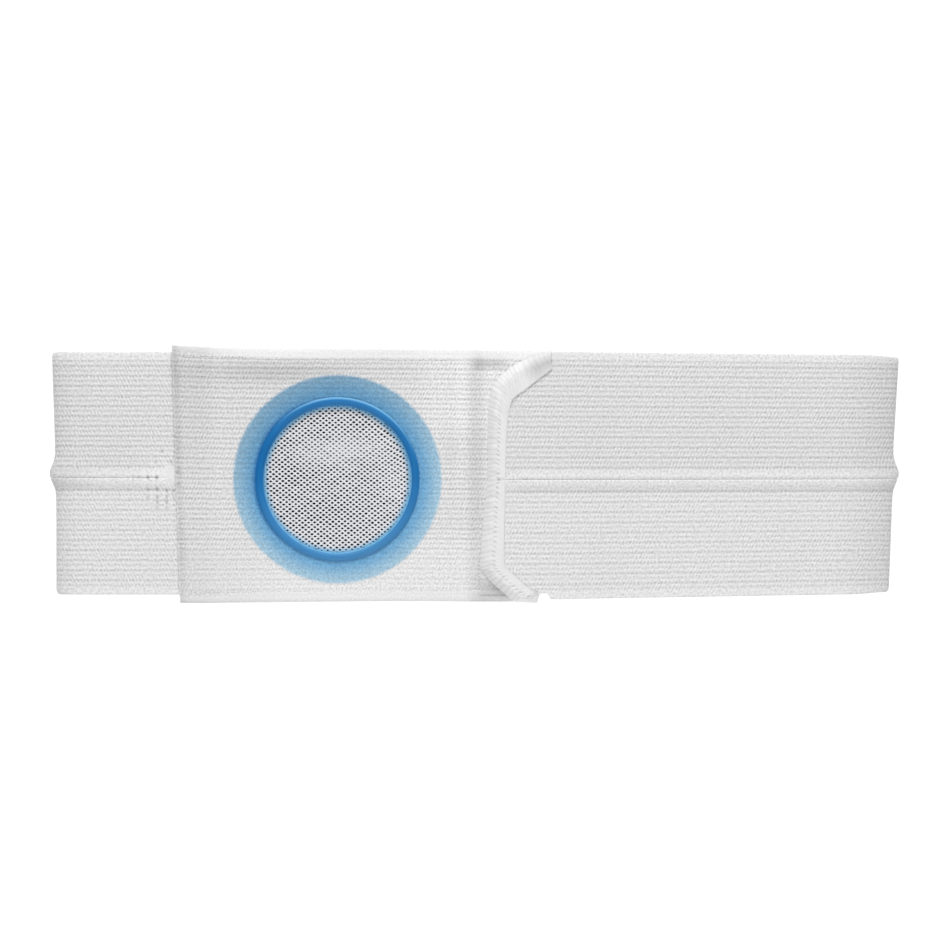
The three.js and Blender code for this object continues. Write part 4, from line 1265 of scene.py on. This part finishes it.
def smooth_line(rows, step=0.35, soften=2.2):
    """Evenly spaced points along lines that join rows of numbers, with softened corners, and their places."""
    rows = np.asarray(rows, float)
    knots = np.concatenate([[0.0], np.cumsum(np.linalg.norm(np.diff(rows[:, :2], axis=0), axis=1))])
    at = np.linspace(0.0, knots[-1], round(knots[-1] / step) + 1)
    line = np.stack([np.interp(at, knots, column) for column in rows.T], -1)
    reach = round(3 * soften / step)
    weights = np.exp(-(np.arange(-reach, reach + 1) * step / soften) ** 2 / 2)
    weights /= weights.sum()
    before = 2 * line[0] - line[reach:0:-1]
    after = 2 * line[-1] - line[-2:-reach - 2:-1]
    padded = np.concatenate([before, line, after])
    return np.stack([np.convolve(column, weights, "valid") for column in padded.T], -1), at


def binding_trim(sizes):
    """The overlocked edge's outer line, its way inwards, its width and how high its foot on the panel is."""
    line, along = smooth_line(BINDING_LINE, soften=1.4)
    outer, inner = line[:, :2], line[:, 2:]
    width = np.linalg.norm(inner - outer, axis=1)
    inward = (inner - outer) / width[:, None]
    foot = panel_height(outer[:, 0], outer[:, 1]) + PANEL_THICKNESS + BINDING_FOOT_GAP - TAB_Z
    upper_leg = smoothstep(60.0, 42.0, along)
    lower_leg = smoothstep(along[-1] - 45.0, along[-1] - 30.0, along)
    return Trim(outer, inward, width, along, foot, sizes.wrap / MM, upper_leg, lower_leg)


def binding_row(share, trim):
    """A line along the edge's top, at a share of its width: how far in it lies, its height and its painted
    shade.
    """
    along, wrap, upper_leg = trim.along, trim.wrap, trim.upper_leg
    u = share * trim.width
    needle = (share - NEEDLE_SHARE) * trim.width
    outside = share < NEEDLE_SHARE
    inside = smoothstep(NEEDLE_SHARE - 0.1, NEEDLE_SHARE + 0.3, share)
    tip_height = WEB_HALF + 0.06 + 0.6 * upper_leg + 0.35 * trim.lower_leg
    uneven = 0.15 * np.sin(TAU * along / 7.3) + 0.12 * np.sin(TAU * along / 11.9 + 1.0)
    body = BINDING_CROWN + (tip_height - BINDING_CROWN) * inside + uneven * (1.0 - inside)
    curl = 1.0 - (1.0 - np.minimum(u / BINDING_ROUND, 1.0)) ** BINDING_CURL_POWER
    lean = (OUTER_LEAN if outside else INNER_LEAN) * needle
    wave = math.pi * (along + lean + 0.9 * np.sin(along / 5.1)) / wrap + (0.0 if outside else INNER_PHASE)
    ridge = np.abs(np.cos(wave))
    lobe = smoothstep(0.1, 1.1, np.abs(needle)) * smoothstep(0.0, 0.8, u) * smoothstep(1.0, 0.96, share)
    lobe = lobe * (1.0 - (0.8 - 0.6 * upper_leg) * inside)
    dents = np.clip(np.cos(TAU * (along - 0.4 * needle) / wrap), 0.0, 1.0) ** 2
    dents = dents * np.exp(-(needle / DENT_SPAN) ** 2)
    creases = (1.0 - ridge) ** 2 * lobe
    slit = np.exp(-((trim.outer[:, 1] + trim.inward[:, 1] * u - SEAM_EDGE.tab) / SLIT_SPAN) ** 2)
    slit = slit * smoothstep(NEEDLE_SHARE - 0.12, NEEDLE_SHARE + 0.05, share)
    swell = 0.15 + 0.06 * np.maximum(upper_leg, trim.lower_leg)
    z = trim.foot + (body - trim.foot) * curl + swell * lobe * (ridge - 0.6)
    z = z - (0.45 - 0.2 * upper_leg) * dents - 0.35 * slit
    place = u - 0.3 * ridge * smoothstep(1.8, 0.0, u)
    # Painted shade along the inner edge, at the upper leg's tip, in the dents, between the wraps and in the
    # slit, kept paler on both legs
    rim = smoothstep(0.95, 1.0, share)
    upper_tip = smoothstep(23.0, 11.0, along)
    lower_tip = smoothstep(along[-1] - 22.0, along[-1] - 8.0, along)
    tip = upper_tip * (0.2 + 0.2 * smoothstep(0.05, 0.3, share) * smoothstep(0.95, 0.6, share))
    pale = 1.0 - 0.6 * np.maximum(upper_leg, lower_tip)
    shade_marks = pale * (0.55 * dents + 0.24 * creases) + 0.9 * slit + 0.4 * rim + tip
    return place, z, np.clip(shade_marks, 0.0, 1.0)


def binding_piece(sizes, material):
    """The overlocked edge of the tab: thread wrapped round both webs' ends, with a needle line on it."""
    trim = binding_trim(sizes)
    along, width = trim.along, trim.width
    places, heights, holes = map(list, zip(*(binding_row(share, trim) for share in BINDING_SHARES)))
    slot_top = WEB_HALF - BINDING_OVERLAP
    slot = [
        (width - BINDING_OVERLAP, slot_top), (BINDING_WALL, slot_top), (BINDING_WALL, -BINDING_SLOT_HALF),
        (BINDING_LOWER_SHARE * width, -BINDING_SLOT_HALF)]
    for u, z in slot:
        places.append(np.broadcast_to(u, width.shape))
        heights.append(np.full_like(width, z))
    for share in BINDING_LOWER_SHARES:
        u = share * width
        ridge = np.abs(np.cos(math.pi * (along - 0.3 * u) / trim.wrap))
        places.append(u)
        heights.append(trim.foot + 0.1 - 0.2 * ridge)
    holes += [np.zeros_like(width)] * (len(places) - len(holes))
    u, z = np.array(places).T, np.array(heights).T
    flat_points = trim.outer[:, None] + trim.inward[:, None] * u[..., None]
    points = np.concatenate([flat_points, (TAB_Z + z)[..., None]], -1)
    count, size = u.shape
    number = np.arange(count * size).reshape(count, size)
    beside = np.roll(number, -1, 1)
    faces = [np.stack([number[:-1], beside[:-1], beside[1:], number[1:]], -1).reshape(-1, 4)]
    for end, order in ((0, 1), (count - 1, -1)):
        ring = number[end]
        strip = [(ring[k], ring[k + 1], ring[size - 2 - k], ring[size - 1 - k]) for k in range(size // 2 - 1)]
        faces.append(np.array(strip)[:, ::order])
    weave = np.stack([np.broadcast_to(along[:, None], u.shape), u], -1).reshape(-1, 2)
    # The hole mask carries the rows' painted shade
    masks = {"hole": np.array(holes).T.ravel()}
    piece = new_piece("overlocked_edge", points.reshape(-1, 3), np.concatenate(faces), weave, masks)
    dress(piece, material)
    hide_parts("tab_binding")
    return piece


def stitch_rows(sizes):
    """The sewn lines that show: points along each line, one stitch apart, and their heights."""
    rows = []
    hem = sizes.hem / MM
    x = HEM_STITCHES
    for edge, inset in (("top", -hem - 0.1), ("bottom", hem + 0.1)):
        y = read_table(PANEL_SECTIONS, "x", edge, x) + inset
        leaning_x = x - 2.0 * np.sign(y) * smoothstep(-150.0, -185.0, x)
        rows.append((np.stack([leaning_x, y], -1), panel_height(x, y) + PANEL_THICKNESS - 0.02))
    line, _ = smooth_line([(row.inner_x + 0.9, row.inner_y) for row in BINDING_LINE[3:6]], TAB_STITCH)
    rows.append((line, np.full(len(line), TAB_Z + WEB_HALF - 0.05)))
    return rows


def stitching_piece(sizes, material):
    """Short stitches of thread along the sewn lines, each one a small arched capsule."""
    radius = sizes.thread / MM / 2
    turn = np.linspace(0.0, TAU, CAPSULE_SIDES, endpoint=False)
    size = (len(CAPSULE_SHARES), CAPSULE_SIDES)
    points, faces, weave = [], [], []
    for line, height in stitch_rows(sizes):
        places = np.column_stack([line, height])
        for start, end in zip(places[:-1], places[1:]):
            run = (end - start) * STITCH_SHARE
            length = np.linalg.norm(run)
            ahead = run / length
            beside = np.cross((0.0, 0.0, 1.0), ahead)
            above = np.cross(ahead, beside)
            number = (len(points) * size[0] * size[1] + np.arange(size[0] * size[1])).reshape(size)
            arch = np.outer(radius * np.sin(math.pi * CAPSULE_SHARES), above)
            middle = start + np.outer(CAPSULE_SHARES, run) + arch
            spokes = np.outer(np.cos(turn), beside) + np.outer(np.sin(turn), above)
            points.append((middle[:, None] + radius * CAPSULE_GIRTH[:, None, None] * spokes).reshape(-1, 3))
            beyond = np.roll(number, -1, 1)
            faces.append(np.stack([number[:-1], beyond[:-1], beyond[1:], number[1:]], -1).reshape(-1, 4))
            faces.append(number[0][CAPSULE_ENDS])
            faces.append(number[-1][CAPSULE_ENDS][:, ::-1])
            along, around = np.meshgrid(CAPSULE_SHARES * length, turn * radius, indexing="ij")
            weave.append(np.stack([along, around], -1).reshape(-1, 2))
    piece = new_piece("stitches", np.concatenate(points), np.concatenate(faces), np.concatenate(weave))
    dress(piece, material)
    return piece


def tack_piece(material):
    """The bar tack beside the panel's left edge: a small crowned pad of satin stitches over the seam."""
    base_z = FRONT_Z + WEB_HALF - 0.1
    u, v = np.meshgrid(np.linspace(-1.0, 1.0, 57), np.linspace(-1.0, 1.0, 49))
    dome = (1.0 - u ** 4) ** 1.5 * (1.0 - v * v) ** 1.5
    threads = 0.07 * np.abs(np.cos(math.pi * u * TACK.half_x / TACK.thread)) * dome
    x = TACK.x + TACK.half_x * u * (1.0 - 0.05 * v * v)
    y = TACK.y + TACK.half_y * v * (1.0 - 0.05 * u * u)
    top = np.stack([x, y, base_z + 0.02 + TACK.crown * dome + threads], -1)
    bottom = np.stack([x, y, np.full_like(x, base_z - 0.2)], -1)
    points, faces = slab(top, bottom)
    weave = both_faces(TACK.half_y * v, TACK.half_x * u)
    # Painted shade round the tack's low edges, in the hole mask
    piece = new_piece("bar_tack", points, faces, weave, sheet_masks({"hole": 0.1 * (1.0 - dome)}))
    dress(piece, material)
    return piece


def area_light(lamp):
    """A soft rectangular lamp that faces the belt."""
    light = bpy.data.lights.new(lamp.name, "AREA")
    light.shape = "RECTANGLE"
    light.size, light.size_y = lamp.size
    light.energy = lamp.power
    holder = bpy.data.objects.new(lamp.name, light)
    holder.location = lamp.place
    holder.rotation_euler = (-Vector(lamp.place)).to_track_quat("-Z", "Y").to_euler()
    bpy.context.scene.collection.objects.link(holder)


class BELT_OT_stage(bpy.types.Operator):
    """Makes the camera, the floor and the soft studio light."""

    bl_idname = "belt.stage"
    bl_label = "Stage"

    def execute(self, context):
        scene = context.scene
        lens = bpy.data.cameras.new("camera")
        lens.lens, lens.sensor_width = FOCAL_LENGTH, SENSOR_WIDTH
        camera = bpy.data.objects.new("camera", lens)
        distance = scene.belt_sizes.camera_field * lens.lens / lens.sensor_width
        camera.location = (SHIFT[0] * MM, (SHIFT[1] - CAMERA_DROP) * MM, FRONT_Z * MM + distance)
        scene.collection.objects.link(camera)
        scene.camera = camera
        corners = [(x * FLOOR_HALF, y * FLOOR_HALF, 0.0) for x, y in ((-1, -1), (1, -1), (1, 1), (-1, 1))]
        floor_mesh = bpy.data.meshes.new("floor")
        floor_mesh.from_pydata(corners, [], [(0, 1, 2, 3)])
        floor_mesh.materials.append(floor_material(scene.belt_colours))
        floor = bpy.data.objects.new("floor", floor_mesh)
        scene.collection.objects.link(floor)
        world = bpy.data.worlds.new("studio")
        world.use_nodes = True
        sky = world.node_tree.nodes["Background"]
        sky.inputs["Color"].default_value = WHITE
        sky.inputs["Strength"].default_value = SKY_STRENGTH
        scene.world = world
        for lamp in LAMPS:
            area_light(lamp)
        scene.view_settings.view_transform = "Standard"
        return {"FINISHED"}


class BELT_OT_webs(bpy.types.Operator):
    """Makes the two elastic webs, folded into a flat loop and laid edge to edge."""

    bl_idname = "belt.webs"
    bl_label = "Elastic webs"

    def execute(self, context):
        scene = context.scene
        material = web_material(scene.belt_sizes, scene.belt_colours)
        for web in WEBS:
            web_piece(web, scene.belt_sizes, material)
        return {"FINISHED"}


class BELT_OT_panel(bpy.types.Operator):
    """Makes the knitted front panel."""

    bl_idname = "belt.panel"
    bl_label = "Front panel"

    def execute(self, context):
        scene = context.scene
        panel_piece(scene.belt_sizes, panel_material(scene.belt_sizes, scene.belt_colours))
        return {"FINISHED"}


class BELT_OT_ring(bpy.types.Operator):
    """Makes the plastic ring."""

    bl_idname = "belt.ring"
    bl_label = "Plastic ring"

    def execute(self, context):
        scene = context.scene
        ring_piece(scene.belt_sizes, ring_material(scene.belt_colours))
        return {"FINISHED"}


class BELT_OT_net(bpy.types.Operator):
    """Makes the mesh window inside the ring and the sheet of painted shadow behind it."""

    bl_idname = "belt.net"
    bl_label = "Mesh window"

    def execute(self, context):
        scene = context.scene
        net_piece(scene.belt_sizes, net_material(scene.belt_sizes, scene.belt_colours))
        painted_shadow_piece(scene.belt_sizes, painted_shadow_material(scene.belt_colours))
        return {"FINISHED"}


class BELT_OT_sewing(bpy.types.Operator):
    """Makes the overlocked edge, the stitches and the bar tack."""

    bl_idname = "belt.sewing"
    bl_label = "Sewing"

    def execute(self, context):
        scene = context.scene
        material = thread_material(scene.belt_colours)
        binding_piece(scene.belt_sizes, material)
        stitching_piece(scene.belt_sizes, material)
        tack_piece(material)
        return {"FINISHED"}


class BELT_OT_hook_strip(bpy.types.Operator):
    """Gives the carried-over hook strip its finish."""

    bl_idname = "belt.hook_strip"
    bl_label = "Hook strip"

    def execute(self, context):
        dress(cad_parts["hook_strip"], hook_material(context.scene.belt_colours))
        return {"FINISHED"}


STEPS = [
    BELT_OT_stage, BELT_OT_webs, BELT_OT_panel, BELT_OT_ring, BELT_OT_net, BELT_OT_sewing, BELT_OT_hook_strip]


class BELT_PT_sidebar(bpy.types.Panel):
    """Lists the belt's sizes, colours and making steps."""

    bl_idname = "BELT_PT_sidebar"
    bl_label = "Support belt"
    bl_space_type = "VIEW_3D"
    bl_region_type = "UI"
    bl_category = "Belt"

    def draw(self, context):
        layout = self.layout
        for group in (context.scene.belt_sizes, context.scene.belt_colours):
            for name in group.bl_rna.properties.keys():
                if name not in ("rna_type", "name"):
                    layout.prop(group, name)
        for step in STEPS:
            layout.operator(step.bl_idname)


CLASSES = [BeltSizes, BeltColours, *STEPS, BELT_PT_sidebar]


def register():
    """Makes the classes and the scene's properties known."""
    for belt_class in CLASSES:
        bpy.utils.register_class(belt_class)
    bpy.types.Scene.belt_sizes = PointerProperty(type=BeltSizes)
    bpy.types.Scene.belt_colours = PointerProperty(type=BeltColours)


def unregister():
    """Takes away what register made known."""
    del bpy.types.Scene.belt_colours
    del bpy.types.Scene.belt_sizes
    for belt_class in reversed(CLASSES):
        bpy.utils.unregister_class(belt_class)


def main():
    """Makes the whole belt."""
    register()
    bpy.ops.belt.stage()
    bpy.ops.belt.webs()
    bpy.ops.belt.panel()
    bpy.ops.belt.ring()
    bpy.ops.belt.net()
    bpy.ops.belt.sewing()
    bpy.ops.belt.hook_strip()


if __name__ == "__main__":
    main()
